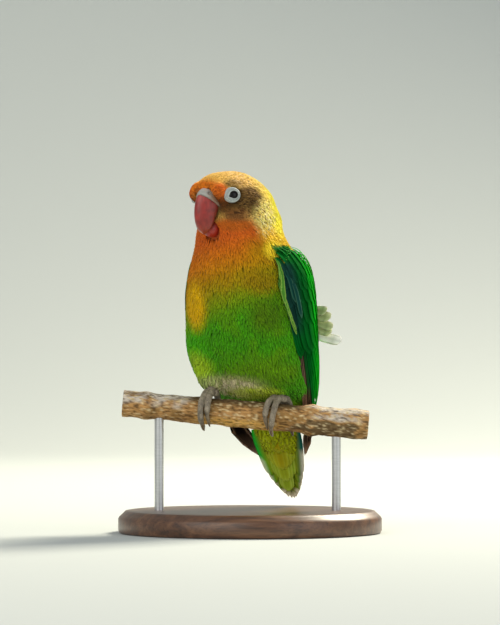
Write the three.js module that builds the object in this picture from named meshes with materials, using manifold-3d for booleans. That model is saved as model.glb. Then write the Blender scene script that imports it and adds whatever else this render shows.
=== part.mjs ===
// A life-size lovebird with a white eye ring, perched upright on a cut length of branch over a plain stand.
// Millimetres, +Z up. The origin is the middle of the flat underside of the base.
// The bird faces -Y, turned a little towards -X.
import * as THREE from 'three';
import { mergeVertices } from 'three/addons/utils/BufferGeometryUtils.js';
import Module from 'manifold-3d';

const wasm = await Module();
wasm.setup();

// Driving dimensions.
const gap = 0.3; // between neighbouring nodes
const birdYaw = -25; // degrees the body turns towards -X
const headYaw = -19; // degrees the head turns further
const birdPlace = new THREE.Vector3(-2.5, 0, 0);
const headPlace = new THREE.Vector3(0, -13.2, 0); // head's axis in the bird's frame
const perchHeight = 52; // perch axis over the floor, at X = 0
const perchSlope = 5; // degrees down towards +X
const perchRadius = 6;
const perchStart = -56;
const perchEnd = 52;
const baseRadius = 58;
const baseThickness = 10;
const rodRadius = 2;
const rodPlaces = [-40, 38];
const neckTop = 129.5;
const neckBottom = 120;
const rad = THREE.MathUtils.degToRad;

// Level sections of the bird from the tail root up to the crown, in its own frame, where it faces -Y:
// height, spine x and y, then the reach to the front, to the back and to each side, and the section's turn
// in degrees.
const trunkSections = [
  { z: 46, x: 0, y: 31, front: 4.5, back: 3.5, half: 7, yaw: 0 },
  { z: 52, x: 0, y: 27.5, front: 10, back: 8, half: 14.5, yaw: 0 },
  { z: 58, x: 0, y: 22.5, front: 14, back: 13.5, half: 21, yaw: 0 },
  { z: 63, x: -0.5, y: 17.5, front: 19, back: 18, half: 24.8, yaw: 0 },
  { z: 70, x: -1, y: 12.5, front: 22, back: 21.5, half: 27.8, yaw: 0 },
  { z: 80, x: -1.1, y: 8.5, front: 24.4, back: 24.5, half: 29.3, yaw: 0 },
  { z: 92, x: -0.6, y: 5.5, front: 25.6, back: 25.5, half: 28.9, yaw: 0 },
  { z: 104, x: 0, y: 3, front: 25.5, back: 25.8, half: 28.1, yaw: 0 },
  { z: 114, x: 0.8, y: 0, front: 24, back: 26.4, half: 26.3, yaw: 0 },
  { z: 121, x: 0.9, y: -3.2, front: 21.6, back: 26.2, half: 23.8, yaw: -3.5 },
  { z: 127.5, x: 0.2, y: -6.8, front: 18.6, back: 25.6, half: 19.9, yaw: -10 },
  { z: 133, x: -0.5, y: -10.5, front: 15.6, back: 26, half: 17.4, yaw: -16 },
  { z: 138, x: 0, y: -12.5, front: 14, back: 25.6, half: 16.6, yaw: -19 },
  { z: 143, x: 0, y: -13.2, front: 15, back: 22.6, half: 16, yaw: -19 },
  { z: 148, x: 0, y: -13.2, front: 20.2, back: 19.6, half: 15.5, yaw: -19 },
  { z: 152, x: 0, y: -13.2, front: 19.4, back: 15.6, half: 13.4, yaw: -19 },
  { z: 155.2, x: 0, y: -13.6, front: 16, back: 11.4, half: 10.4, yaw: -19 },
  { z: 157.6, x: 0, y: -14.4, front: 11, back: 6.6, half: 7, yaw: -19 },
  { z: 158.6, x: 0, y: -15.4, front: 5, back: 3.6, half: 3.6, yaw: -19 },
];
const crown = new THREE.Vector3(0, -15.4, 159);

// Below the flanks the folded wings leave the body and taper straight down beside the tail.
const wingTaper = [
  { z: 28, x: 0, y: 38.5, front: 7, back: 8.5, half: 11.5, yaw: 0 },
  { z: 34, x: 0, y: 35, front: 8, back: 9.5, half: 14, yaw: 0 },
  { z: 44, x: 0, y: 29.5, front: 11, back: 12.5, half: 18, yaw: 0 },
  { z: 54, x: 0, y: 23.5, front: 14.5, back: 17, half: 21.2, yaw: 0 },
  { z: 62, x: 0, y: 18.4, front: 18.6, back: 20, half: 24.3, yaw: 0 },
  { z: 70, x: -1, y: 13, front: 22, back: 22.3, half: 27.9, yaw: 0 },
];
const wingSections = [...wingTaper, ...trunkSections.filter((section) => section.z >= 80)];

// A closed body skinned over rings of points, with its ends closed by fans.
function skin(rings, startTip, endTip) {
  const count = rings[0].length;
  const points = rings.flat();
  const index = [];
  for (let r = 0; r + 1 < rings.length; r++) {
    for (let i = 0; i < count; i++) {
      const a = r * count + i;
      const b = r * count + ((i + 1) % count);
      index.push(a, b, b + count, a, b + count, a + count);
    }
  }
  const middle = (ring) => ring.reduce((sum, p) => sum.add(p), new THREE.Vector3()).divideScalar(count);
  points.push(startTip ?? middle(rings[0]), endTip ?? middle(rings.at(-1)));
  const first = points.length - 2;
  const lastRing = (rings.length - 1) * count;
  for (let i = 0; i < count; i++) {
    const next = (i + 1) % count;
    index.push(first, next, i);
    index.push(first + 1, lastRing + i, lastRing + next);
  }
  return shaped(points, index);
}

// Geometry from points and triangles, turned so that its faces point out.
function shaped(points, index) {
  let volume = 0;
  for (let i = 0; i < index.length; i += 3) {
    const [a, b, c] = [points[index[i]], points[index[i + 1]], points[index[i + 2]]];
    volume += a.dot(new THREE.Vector3().crossVectors(b, c));
  }
  if (volume < 0) index.reverse();
  return new THREE.BufferGeometry().setFromPoints(points).setIndex(index);
}

// A closed slab between two matching grids of points, split into triangles alike on both faces.
function slab(top, bottom) {
  const columns = top[0].length;
  const under = top.length * columns;
  const index = [];
  for (let r = 0; r + 1 < top.length; r++) {
    for (let c = 0; c + 1 < columns; c++) {
      const a = r * columns + c;
      const b = a + 1;
      const d = a + columns;
      const e = d + 1;
      index.push(a, b, e, a, e, d);
      index.push(under + a, under + e, under + b, under + a, under + d, under + e);
    }
  }
  const right = top.map((_, r) => r * columns + columns - 1);
  const left = top.map((_, r) => r * columns);
  const first = Array.from({ length: columns }, (_, c) => c);
  const last = first.map((c) => left.at(-1) + c);
  const edge = [...first, ...right.slice(1), ...last.reverse().slice(1), ...left.reverse().slice(1, -1)];
  edge.forEach((i, k) => {
    const j = edge[(k + 1) % edge.length];
    index.push(j, i, under + i, j, under + i, under + j);
  });
  return shaped([...top.flat(), ...bottom.flat()], index);
}

// A closed geometry as a solid for cutting and joining.
function solid(geometry) {
  const bare = new THREE.BufferGeometry().setAttribute('position', geometry.getAttribute('position'));
  bare.setIndex(geometry.getIndex());
  const merged = mergeVertices(bare, 1e-4);
  return new wasm.Manifold(
    new wasm.Mesh({
      numProp: 3,
      vertProperties: merged.attributes.position.array,
      triVerts: new Uint32Array(merged.index.array),
    }),
  );
}

// The largest closed surface of a solid, as geometry for a mesh.
function finished(made) {
  const largest = made.decompose().sort((a, b) => b.volume() - a.volume())[0];
  const mesh = largest.getMesh();
  return new THREE.BufferGeometry()
    .setAttribute('position', new THREE.BufferAttribute(mesh.vertProperties, 3))
    .setIndex(new THREE.BufferAttribute(mesh.triVerts, 1));
}

function node(name, geometry, material) {
  const mesh = new THREE.Mesh(geometry, material);
  mesh.name = name;
  return mesh;
}

const mix = (a, b, share) => a + (b - a) * share;
const moved = (geometry, matrix) => geometry.clone().applyMatrix4(matrix);

// A smooth value along a list of values, at a place from 0 to its last index.
function along(values, place) {
  const i = Math.min(Math.max(Math.floor(place), 0), values.length - 2);
  const u = place - i;
  const p1 = values[i];
  const p2 = values[i + 1];
  const p0 = values[i - 1] ?? 2 * p1 - p2;
  const p3 = values[i + 2] ?? 2 * p2 - p1;
  return p1 + 0.5 * u * (p2 - p0 + u * (2 * p0 - 5 * p1 + 4 * p2 - p3 + u * (3 * (p1 - p2) + p3 - p0)));
}

const keys = ['z', 'x', 'y', 'front', 'back', 'half', 'yaw'];
function sectionAt(sections, place) {
  return Object.fromEntries(keys.map((key) => [key, along(sections.map((section) => section[key]), place)]));
}

// The place in a list of sections whose height is z.
function placeOf(sections, z) {
  let low = 0;
  let high = sections.length - 1;
  for (let i = 0; i < 40; i++) {
    const mid = (low + high) / 2;
    if (sectionAt(sections, mid).z < z) low = mid;
    else high = mid;
  }
  return (low + high) / 2;
}

// A point of a level section at an angle from the front, where 90 is the bird's left side.
function rimPoint(section, angle, grow = 0) {
  const fullness = 2.15;
  const round = (value) => Math.sign(value) * Math.abs(value) ** (2 / fullness);
  const side = round(Math.sin(rad(angle)));
  const forward = round(Math.cos(rad(angle)));
  const narrowing = 1 - 0.1 * Math.max(0, forward);
  const reach = (forward > 0 ? section.front : section.back) + grow;
  const p = new THREE.Vector3((section.half + grow) * side * narrowing, -reach * forward, 0);
  p.applyAxisAngle(new THREE.Vector3(0, 0, 1), rad(section.yaw));
  return p.add(new THREE.Vector3(section.x, section.y, section.z));
}

const rimCount = 32;
const rim = (section, grow = 0) =>
  Array.from({ length: rimCount }, (_, i) => rimPoint(section, (360 * i) / rimCount, grow));

// Part of the body between two heights.
function trunk(from, to, step, endTip) {
  const start = placeOf(trunkSections, from);
  const end = endTip ? trunkSections.length - 1 : placeOf(trunkSections, to);
  const count = Math.ceil((end - start) / step);
  const rings = Array.from({ length: count + 1 }, (_, i) =>
    rim(sectionAt(trunkSections, start + ((end - start) * i) / count)),
  );
  return skin(rings, undefined, endTip);
}

// A tube through points, with a radius for each and round sections.
function tube(points, radii, sides = 8, grow = 0) {
  const curve = new THREE.CatmullRomCurve3(points, false, 'centripetal');
  const steps = radii.length - 1;
  const frames = curve.computeFrenetFrames(steps, false);
  const rings = radii.map((radius, i) => {
    const centre = curve.getPointAt(i / steps);
    return Array.from({ length: sides }, (_, k) => {
      const angle = (2 * Math.PI * k) / sides;
      return centre
        .clone()
        .addScaledVector(frames.normals[i], (radius + grow) * Math.cos(angle))
        .addScaledVector(frames.binormals[i], (radius + grow) * Math.sin(angle));
    });
  });
  return skin(rings);
}

const birdFrame = new THREE.Matrix4()
  .makeRotationZ(rad(birdYaw))
  .setPosition(birdPlace);
const headInBird = new THREE.Matrix4().makeRotationZ(rad(headYaw)).setPosition(headPlace);
const perchFrame = new THREE.Matrix4().makeRotationY(rad(perchSlope)).setPosition(0, 0, perchHeight);
const toBird = birdFrame.clone().invert();
const perchInBird = toBird.clone().multiply(perchFrame);
const inBird = (x, y, z) => new THREE.Vector3(x, y, z).applyMatrix4(toBird);

const finish = (colour, roughness, metalness = 0) =>
  new THREE.MeshStandardMaterial({ color: colour, roughness, metalness });
const finishes = {
  head: finish('#b5642a', 0.85),
  neck: finish('#e08a1c', 0.85),
  torso: finish('#4f9a1e', 0.85),
  wing: finish('#1c6b2c', 0.7),
  tail: finish('#6f9a22', 0.7),
  bill: finish('#b5303a', 0.35),
  cere: finish('#c9ced2', 0.6),
  eyeRing: finish('#d9e2e4', 0.6),
  eye: finish('#1a1410', 0.1),
  foot: finish('#8d8580', 0.75),
  claw: finish('#4a403a', 0.5),
  perch: finish('#9a7452', 0.9),
  stand: finish('#6b4a32', 0.5),
  rod: finish('#b9b9b9', 0.3, 1),
};

function standBase() {
  const chamfer = 1.5;
  const outline = [
    [0, 0],
    [baseRadius - chamfer, 0],
    [baseRadius, chamfer],
    [baseRadius, baseThickness - 2 * chamfer],
    [baseRadius - 2 * chamfer, baseThickness],
    [0, baseThickness],
  ].map(([r, z]) => new THREE.Vector2(r, z));
  return new THREE.LatheGeometry(outline, 40).rotateX(Math.PI / 2);
}

const socketDepth = 4;
const perchDrop = Math.tan(rad(perchSlope));
function rod(x, grow = 0) {
  const bottom = baseThickness - socketDepth - grow;
  const underside = perchHeight - perchDrop * x - perchRadius;
  const top = underside + socketDepth + grow;
  const shape = new THREE.CylinderGeometry(rodRadius + grow, rodRadius + grow, top - bottom, 12);
  return shape.rotateX(Math.PI / 2).translate(x, 0, (top + bottom) / 2);
}

// The branch's radius along its length: a slow taper, long waves and a few knots.
const knots = [
  { x: -46, height: 0.7, width: 3.5 },
  { x: -8, height: 0.35, width: 4 },
  { x: 27, height: 0.8, width: 3 },
  { x: 46, height: 0.9, width: 4 },
];
function perchSurface(x, grow = 0) {
  const taper = 0.006 * x;
  const wave = 0.18 * Math.sin(0.21 * x + 0.6) + 0.1 * Math.sin(0.53 * x);
  const swell = knots.reduce((sum, k) => sum + k.height * Math.exp(-(((x - k.x) / k.width) ** 2)), 0);
  return perchRadius + taper + wave + swell + grow;
}
function perch(grow = 0) {
  const steps = 21;
  const sides = 12;
  const rings = Array.from({ length: steps + 1 }, (_, i) => {
    const x = perchStart + ((perchEnd - perchStart) * i) / steps;
    return Array.from({ length: sides }, (_, k) => {
      const angle = (2 * Math.PI * k) / sides;
      const lobe = 1 + 0.02 * Math.sin(3 * angle + 0.05 * x);
      const radius = perchSurface(x, grow) * lobe;
      return new THREE.Vector3(x, radius * Math.cos(angle), radius * Math.sin(angle));
    });
  });
  return skin(rings);
}

const toeRadius = 1.4;
const gripRadius = perchRadius + gap + toeRadius + 0.5;
// Each foot has two toes forward over the perch and two back, as on every parrot. A toe's start, middle and
// last are its places along the perch from the foot's own, and end is its last joint's angle over the level.
const feet = [
  {
    name: 'right',
    x: -17.4,
    ankle: inBird(-17.4, 4.5, 64.8),
    hip: new THREE.Vector3(-13, 9, 82),
    toes: [
      { tag: 'front_outer', forward: true, start: -0.8, middle: -4.3, last: -3.2, end: -44 },
      { tag: 'front_inner', forward: true, start: 0.9, middle: -1.2, last: -1.3, end: -12 },
      { tag: 'back_outer', forward: false, start: -1, middle: -2.6, last: -3.4, end: -28 },
      { tag: 'back_inner', forward: false, start: 0.8, middle: 2.4, last: 2.8, end: 2 },
    ],
  },
  {
    name: 'left',
    x: 13.2,
    ankle: inBird(13.6, 5.5, 63.4),
    hip: new THREE.Vector3(13, 12, 82),
    toes: [
      { tag: 'front_outer', forward: true, start: -0.4, middle: -2.8, last: -3.6, end: -42 },
      { tag: 'front_inner', forward: true, start: -1.8, middle: -5.6, last: -6.6, end: -4 },
      { tag: 'back_outer', forward: false, start: 1, middle: 4.2, last: 5.2, end: -26 },
      { tag: 'back_inner', forward: false, start: -0.6, middle: 0.8, last: 1.4, end: 2 },
    ],
  },
];
const toeTop = 98; // the angle where a toe leaves the ball of the foot
const clawDrift = 4.8; // how fast a claw turns back along the perch

// A point of a toe's centre line, from the ball of the foot at share 0 to the last joint at 1 and on into
// the claw.
function toePoint(foot, toe, share, lift = 0) {
  const angle = rad(mix(toeTop, toe.end, share));
  const bow = toe.middle - (toe.start + toe.last) / 2;
  const within = Math.min(share, 1);
  const curve = mix(toe.start, toe.last, within) + 4 * bow * within * (1 - within);
  const aside = curve + clawDrift * Math.max(0, share - 1);
  const y = (gripRadius + lift) * Math.cos(angle) * (toe.forward ? -1 : 1);
  return new THREE.Vector3(foot.x + aside, y, (gripRadius + lift) * Math.sin(angle));
}

function toe(foot, which, grow) {
  const steps = 8;
  const radii = Array.from({ length: steps + 1 }, (_, i) => {
    const share = i / steps;
    const joints = 0.14 * Math.abs(Math.sin(3 * Math.PI * share));
    return (i === steps ? 0.62 : 1) * (toeRadius - 0.25 * share + joints);
  });
  const path = Array.from({ length: 8 }, (_, i) => toePoint(foot, which, i / 7));
  return tube(path, radii, 7, grow);
}

function tarsus(foot, grow) {
  const ankle = foot.ankle.clone().applyMatrix4(perchInBird.clone().invert());
  const ball = new THREE.Vector3(foot.x, 0.2, gripRadius);
  const bend = ball.clone().lerp(ankle, 0.5).add(new THREE.Vector3(0, -0.6, 0));
  return tube([ball, bend, ankle], [1.7, 1.75, 1.6, 1.7, 1.9], 8, grow);
}

function footSolid(foot, grow = 0) {
  const pieces = [tarsus(foot, grow), ...foot.toes.map((which) => toe(foot, which, grow))];
  return pieces.map(solid).reduce((whole, piece) => whole.add(piece));
}

function claw(foot, which) {
  const span = toeTop - which.end;
  const shares = [0, 0.25, 0.5, 0.75, 1].map((u) => 1 + (4 + 31 * u) / span);
  const path = shares.map((share, i) => toePoint(foot, which, share, 0.12 * i));
  return tube(path, [0.85, 0.8, 0.68, 0.5, 0.3], 6);
}

function thigh(foot, grow = 0) {
  const knee = foot.hip.clone().lerp(foot.ankle, 0.5).add(new THREE.Vector3(0, -1.5, 0));
  return tube([foot.hip, knee, foot.ankle], [6, 9, 10.4, 10.2, 9.2, 7.2, 4.2], 14, grow);
}

// The bill, cere and eyes are made in the head's frame. These are profile points in the middle plane, y and
// then z. The upper line is the ridge, the lower one the roof of the mouth.
const ridge = [
  [-14.5, 152.2],
  [-18.7, 149.9],
  [-21.2, 146],
  [-22.1, 141.3],
  [-21.6, 136.6],
  [-19.9, 133],
  [-17.4, 130.9],
];
const roof = [
  [-9.6, 147],
  [-10.2, 143.4],
  [-10.9, 140.6],
  [-12, 138.8],
  [-13.3, 136.4],
  [-14.8, 133.6],
  [-16.2, 131.2],
];
const billHalf = [4.4, 4.8, 4.8, 4.6, 4.2, 3.2, 0.7];
const billKeel = 0.3; // how much narrower the bill is at its ridge than at its roof

// A ring round the bill. The place along it may change from the ridge, where up is 1, to the roof.
function billRing(placeAt, grow, sides = 14) {
  return Array.from({ length: sides }, (_, i) => {
    const angle = (2 * Math.PI * i) / sides;
    const up = Math.cos(angle);
    const place = placeAt(up);
    const onLine = (line) => [0, 1].map((axis) => along(line.map((point) => point[axis]), place));
    const top = onLine(ridge);
    const bottom = onLine(roof);
    const reach = new THREE.Vector2(top[0] - bottom[0], top[1] - bottom[1]);
    const long = reach.length() / 2 + grow;
    reach.normalize();
    const half = (along(billHalf, place) + grow) * (1 - billKeel * up);
    const y = (top[0] + bottom[0]) / 2 + reach.x * long * up;
    const z = (top[1] + bottom[1]) / 2 + reach.y * long * up;
    return new THREE.Vector3(half * Math.sin(angle), y, z);
  });
}

function billLoft(from, to, grow, steps) {
  const ring = (_, i) => billRing((up) => mix(from(up), to(up), i / steps), grow);
  return skin(Array.from({ length: steps + 1 }, ring));
}
// The seam between the cere and the horn runs back along the bill's sides.
const seam = (up) => 1.4 - 0.35 * (1 - up);
const placeLength = 4; // millimetres along the bill from one profile point to the next, at least
const cereSwell = 0.35;
function upperBill(grow = 0) {
  return billLoft((up) => seam(up) + 0.11 - grow / placeLength, () => 6, grow, 10);
}
function cereBody(grow = 0) {
  const more = grow / placeLength;
  return billLoft(() => 0.1 - more, (up) => seam(up) + more, cereSwell + grow, 4);
}

// The face is hollow round the cere, where the feathers end.
function faceHollow() {
  return new THREE.SphereGeometry(1, 14, 8).scale(7.2, 8, 6.4).translate(0, -22.5, 146.8);
}

function nostril(side) {
  return new THREE.SphereGeometry(0.8, 10, 6).scale(1, 1.1, 0.85).translate(side * 3.5, -17.7, 149);
}

// The lower bill is a short scoop tucked under the upper one: y, top, bottom, half width.
const scoop = [
  [-8.5, 137.6, 129.8, 2.8],
  [-11.5, 137.4, 129.6, 3.3],
  [-13.6, 136.6, 129.8, 3.3],
  [-15, 135.2, 130.5, 2.8],
  [-16, 133.6, 131.7, 1.8],
];
function lowerBill(grow = 0) {
  const rings = scoop.map(([y, top, bottom, half], i) =>
    Array.from({ length: 14 }, (_, k) => {
      const angle = (2 * Math.PI * k) / 14;
      const forward = (grow * i) / (scoop.length - 1);
      const z = (top + bottom) / 2 + ((top - bottom) / 2 + grow) * Math.cos(angle);
      return new THREE.Vector3((half + grow) * Math.sin(angle), y - forward, z);
    }),
  );
  return skin(rings);
}

const eyeCentre = new THREE.Vector3(11.6, -12, 148.2);
const eyeTurn = 63; // degrees from straight ahead to where the eye looks
const ringRadius = 3.7;
const eyeRadius = 2.4;
const eyeDepth = 1.5; // the eyeball's half thickness

// Turns a shape made about its own +Z so that it looks out of the side of the head.
function atEye(geometry, side) {
  const outward = new THREE.Vector3(side * Math.sin(rad(eyeTurn)), -Math.cos(rad(eyeTurn)), 0.1).normalize();
  const turn = new THREE.Quaternion().setFromUnitVectors(new THREE.Vector3(0, 0, 1), outward);
  const place = new THREE.Vector3(side * eyeCentre.x, eyeCentre.y, eyeCentre.z);
  return geometry.applyMatrix4(new THREE.Matrix4().compose(place, turn, new THREE.Vector3(1, 1, 1)));
}

// Bare skin round the eye: a low dome, a groove, and two lids round the opening. Radius, then height.
const ringProfile = [
  [2.75, -2.6],
  [ringRadius, -2.6],
  [ringRadius, -0.5],
  [3.35, 0.1],
  [2.95, 0.28],
  [2.7, 0.2],
  [2.4, 0.62],
  [2.05, 0.66],
  [1.8, 0.3],
  [2.3, -0.25],
  [2.75, -0.9],
  [2.75, -2.6],
];
function eyeRing(side) {
  const profile = ringProfile.map(([r, h]) => new THREE.Vector2(r, h));
  return atEye(new THREE.LatheGeometry(profile, 16).rotateX(Math.PI / 2), side);
}
function eyePocket(side) {
  const depth = 2.6 + gap;
  const pocket = new THREE.CylinderGeometry(ringRadius + gap, ringRadius + gap, 8 + depth, 16);
  return atEye(pocket.rotateX(Math.PI / 2).translate(0, 0, 4 - depth / 2), side);
}
function eyeball(side) {
  const ball = new THREE.SphereGeometry(eyeRadius, 14, 8).rotateX(Math.PI / 2);
  return atEye(ball.scale(1, 1, eyeDepth / eyeRadius).translate(0, 0, -1.2), side);
}

const vaneEdge = 0.5; // thickness at a vane's sides, and at its shaft
const vaneShaft = 0.75;
const longVane = [
  { share: 0, width: 0.5 },
  { share: 0.35, width: 0.96 },
  { share: 0.84, width: 0.9 },
  { share: 1, width: 0.22 },
];
const shortVane = [
  { share: 0, width: 0.6 },
  { share: 0.55, width: 1 },
  { share: 0.86, width: 0.78 },
  { share: 1, width: 0.25 },
];

// A vane as a slab. place(share, aside, lift) gives a point on the surface that the feather lies over.
function vane(place, half, tilt, stations) {
  const face = (turn) =>
    stations.map(({ share, width }) =>
      [-1, 0, 1].map((across) => {
        const aside = across * half * width;
        const thickness = across === 0 ? vaneShaft : vaneEdge;
        return place(share, aside, -tilt * aside + (turn * thickness) / 2);
      }),
    );
  return slab(face(1), face(-1));
}

// The folded arm under the coverts, from the shoulder down: height, and its edges as angles from the front.
const armRows = [
  { z: 124, front: 88, back: 100 },
  { z: 121.5, front: 78, back: 114 },
  { z: 117, front: 64, back: 126 },
  { z: 111, front: 58, back: 134 },
  { z: 103, front: 60, back: 139 },
  { z: 95, front: 66, back: 141 },
  { z: 87, front: 70, back: 141 },
  { z: 79, front: 73, back: 139 },
  { z: 71, front: 77, back: 135 },
  { z: 65, front: 84, back: 128 },
];
// The hollow in the body's side that holds the folded wing.
const bedRows = [
  { z: 124.5, front: 84, back: 104 },
  { z: 121.5, front: 75, back: 117 },
  { z: 117, front: 62, back: 128.5 },
  { z: 111, front: 56, back: 136.5 },
  { z: 103, front: 58, back: 141.5 },
  { z: 95, front: 63, back: 144 },
  { z: 87, front: 65, back: 144 },
  { z: 79, front: 65, back: 143 },
  { z: 71, front: 64, back: 142 },
  { z: 63, front: 64, back: 141 },
  { z: 54, front: 64, back: 141 },
];
const rightWingBack = 18; // degrees the right wing's shoulder lies further back than the left one's
const rightTipTurn = 30; // degrees its tip turns in further behind the tail
const armSink = 2.4; // how deep the arm lies in the body
const armSwell = 1.9; // how far it stands out under the smallest coverts
const armThins = { from: 103, to: 71, swell: -0.7 }; // lower down, the feathers take its place

// A point over the body's side where the wing lies: height, angle from the front, lift off the surface.
function wingPoint(z, foldedAngle, lift, side) {
  const shoulder = THREE.MathUtils.clamp((z - 45) / 45, 0, 1);
  const low = THREE.MathUtils.clamp((48 - z) / 16, 0, 1);
  const angle = foldedAngle + (side < 0 ? rightWingBack * shoulder + rightTipTurn * low : 0);
  const at = (height, turn) => rimPoint(sectionAt(wingSections, placeOf(wingSections, height)), side * turn);
  const p = at(z, angle);
  const upward = at(z + 0.5, angle).sub(at(z - 0.5, angle));
  const round = at(z, angle + 1).sub(at(z, angle - 1)).multiplyScalar(side);
  return p.addScaledVector(round.cross(upward).normalize(), lift);
}

// How many degrees a millimetre across the wing is, at a height.
function degreesAcross(z) {
  return 2 / wingPoint(z, 101, 0, 1).distanceTo(wingPoint(z, 99, 0, 1));
}

function arm(side) {
  const across = [-1, -0.82, -0.45, 0, 0.45, 0.82, 1];
  const face = (lift) =>
    armRows.map((row, r) =>
      across.map((q) => {
        const angle = (row.front + row.back) / 2 + (q * (row.back - row.front)) / 2;
        const closing = r === 0 || r === armRows.length - 1 ? 0.35 : 1;
        return wingPoint(row.z, angle, lift(row.z) * closing * (1 - 0.75 * q ** 6), side);
      }),
    );
  const share = (z) => THREE.MathUtils.clamp((armThins.from - z) / (armThins.from - armThins.to), 0, 1);
  const top = face((z) => mix(armSwell, armThins.swell, share(z)));
  const bottom = face(() => -armSink);
  return solid(slab(top, bottom));
}

function wingBed(side) {
  const shares = [0, 0.25, 0.5, 0.75, 1];
  const face = (lift) =>
    bedRows.map(({ z, front, back }) =>
      shares.map((share) => wingPoint(z, mix(front, back, share), lift, side)),
    );
  const depth = armSink + gap;
  return solid(slab(face(9), face(-depth)));
}

// The wing's feathers in tiers. In each tier the first lies lowest on the flank and the last towards the
// back, and root and tip are the height and angle of the first and of the last. Bunched tips crowd towards
// the first.
const wingTiers = [
  {
    name: 'primaries',
    count: 7,
    root: [{ z: 93, angle: 76 }, { z: 95, angle: 92 }],
    tip: [{ z: 32.5, angle: 100 }, { z: 54, angle: 124 }],
    half: 2.7,
    lift: [-1, 0.8],
    bend: 3,
    bunched: 1.7,
    stations: longVane,
  },
  {
    name: 'secondaries',
    count: 5,
    root: [{ z: 95, angle: 92 }, { z: 98, angle: 126 }],
    tip: [{ z: 57, angle: 122 }, { z: 68, angle: 143 }],
    half: 3.6,
    lift: [0.9, 1.5],
    bend: 1.6,
    stations: longVane,
  },
  {
    name: 'primary_coverts',
    count: 2,
    root: [{ z: 100, angle: 69 }, { z: 101, angle: 77 }],
    tip: [{ z: 78, angle: 74 }, { z: 82, angle: 84 }],
    half: 2.2,
    lift: [0.2, 0.7],
    bend: 1,
    stations: shortVane,
  },
  {
    name: 'greater_coverts',
    count: 6,
    root: [{ z: 101, angle: 79 }, { z: 104, angle: 133 }],
    tip: [{ z: 81, angle: 86 }, { z: 87, angle: 138 }],
    half: 3.3,
    lift: [1.1, 2],
    bend: 1,
    stations: shortVane,
  },
  {
    name: 'median_coverts',
    count: 6,
    root: [{ z: 107, angle: 68 }, { z: 110, angle: 129 }],
    tip: [{ z: 92, angle: 70 }, { z: 96, angle: 136 }],
    half: 3.6,
    lift: [1, 2.4],
    bend: 1,
    stations: shortVane,
  },
];
const shingleTilt = 0.2;
const rootLift = 0.2; // every feather starts inside the arm

function wingFeather(side, tier, k) {
  const u = k / (tier.count - 1);
  const root = {
    z: mix(tier.root[0].z, tier.root[1].z, u),
    angle: mix(tier.root[0].angle, tier.root[1].angle, u),
  };
  const tip = {
    z: mix(tier.tip[0].z, tier.tip[1].z, u ** (tier.bunched ?? 1)),
    angle: mix(tier.tip[0].angle, tier.tip[1].angle, u),
  };
  const full = mix(tier.lift[0], tier.lift[1], u);
  const place = (share, aside, lift) => {
    const z = mix(root.z, tip.z, share);
    const angle = mix(root.angle, tip.angle, share ** tier.bend);
    const rise = mix(Math.min(rootLift, full), full, Math.min(1, share * 3.3));
    return wingPoint(z, angle + aside * degreesAcross(z), rise + lift, side);
  };
  return solid(vane(place, tier.half, shingleTilt, tier.stations));
}

// A few feathers behind the left wing stand out from it, ruffled, with their faces to the front.
const ruffled = [
  { root: { z: 101, angle: 116 }, tip: { z: 93.5, angle: 112, lift: 7.5 }, half: 3 },
  { root: { z: 96, angle: 118 }, tip: { z: 88.5, angle: 114, lift: 7.8 }, half: 2.8 },
  { root: { z: 93, angle: 120 }, tip: { z: 82.5, angle: 114, lift: 10.5 }, half: 2.5 },
];
function ruffledFeather(feather) {
  const place = (share, aside, lift) => {
    const z = mix(feather.root.z, feather.tip.z, share) + 0.8 * aside;
    const angle = mix(feather.root.angle, feather.tip.angle, share) + lift * degreesAcross(z);
    return wingPoint(z, angle, feather.tip.lift * share + 0.6 * aside * share, 1);
  };
  return solid(vane(place, feather.half, 0, shortVane));
}

function wing(side) {
  const feathers = wingTiers.flatMap((tier) =>
    Array.from({ length: tier.count }, (_, k) => wingFeather(side, tier, k)),
  );
  if (side > 0) feathers.push(...ruffled.map(ruffledFeather));
  return feathers.reduce((whole, feather) => whole.add(feather), arm(side));
}

const tailRoot = new THREE.Vector3(0, 27, 58);
const tailTip = new THREE.Vector3(1, 49.4, 13.2);
const tailLength = tailRoot.distanceTo(tailTip);
const tailAxis = tailTip.clone().sub(tailRoot).normalize();
const tailBack = new THREE.Vector3(0, -tailAxis.z, tailAxis.y).normalize(); // out of the tail's upper side
const tailSide = new THREE.Vector3().crossVectors(tailBack, tailAxis).normalize();
// The tail's fleshy root with the coverts over it: half width and thickness at shares of the tail's length.
const tailCoreSections = [
  { share: 0.08, half: 10.5, thick: 10 },
  { share: 0.2, half: 11.2, thick: 8.4 },
  { share: 0.34, half: 10.8, thick: 6 },
  { share: 0.48, half: 9.4, thick: 3.8 },
  { share: 0.58, half: 7, thick: 2 },
];
function tailPoint(share, aside, lift) {
  return tailRoot
    .clone()
    .addScaledVector(tailAxis, share * tailLength)
    .addScaledVector(tailSide, aside)
    .addScaledVector(tailBack, lift);
}
function tailCore(grow = 0) {
  const rings = tailCoreSections.map(({ share, half, thick }) =>
    Array.from({ length: 14 }, (_, i) => {
      const angle = (2 * Math.PI * i) / 14;
      const start = share === tailCoreSections[0].share ? share - grow / tailLength : share;
      return tailPoint(start, (half + grow) * Math.cos(angle), (thick / 2 + grow) * Math.sin(angle));
    }),
  );
  return solid(skin(rings));
}

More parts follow.
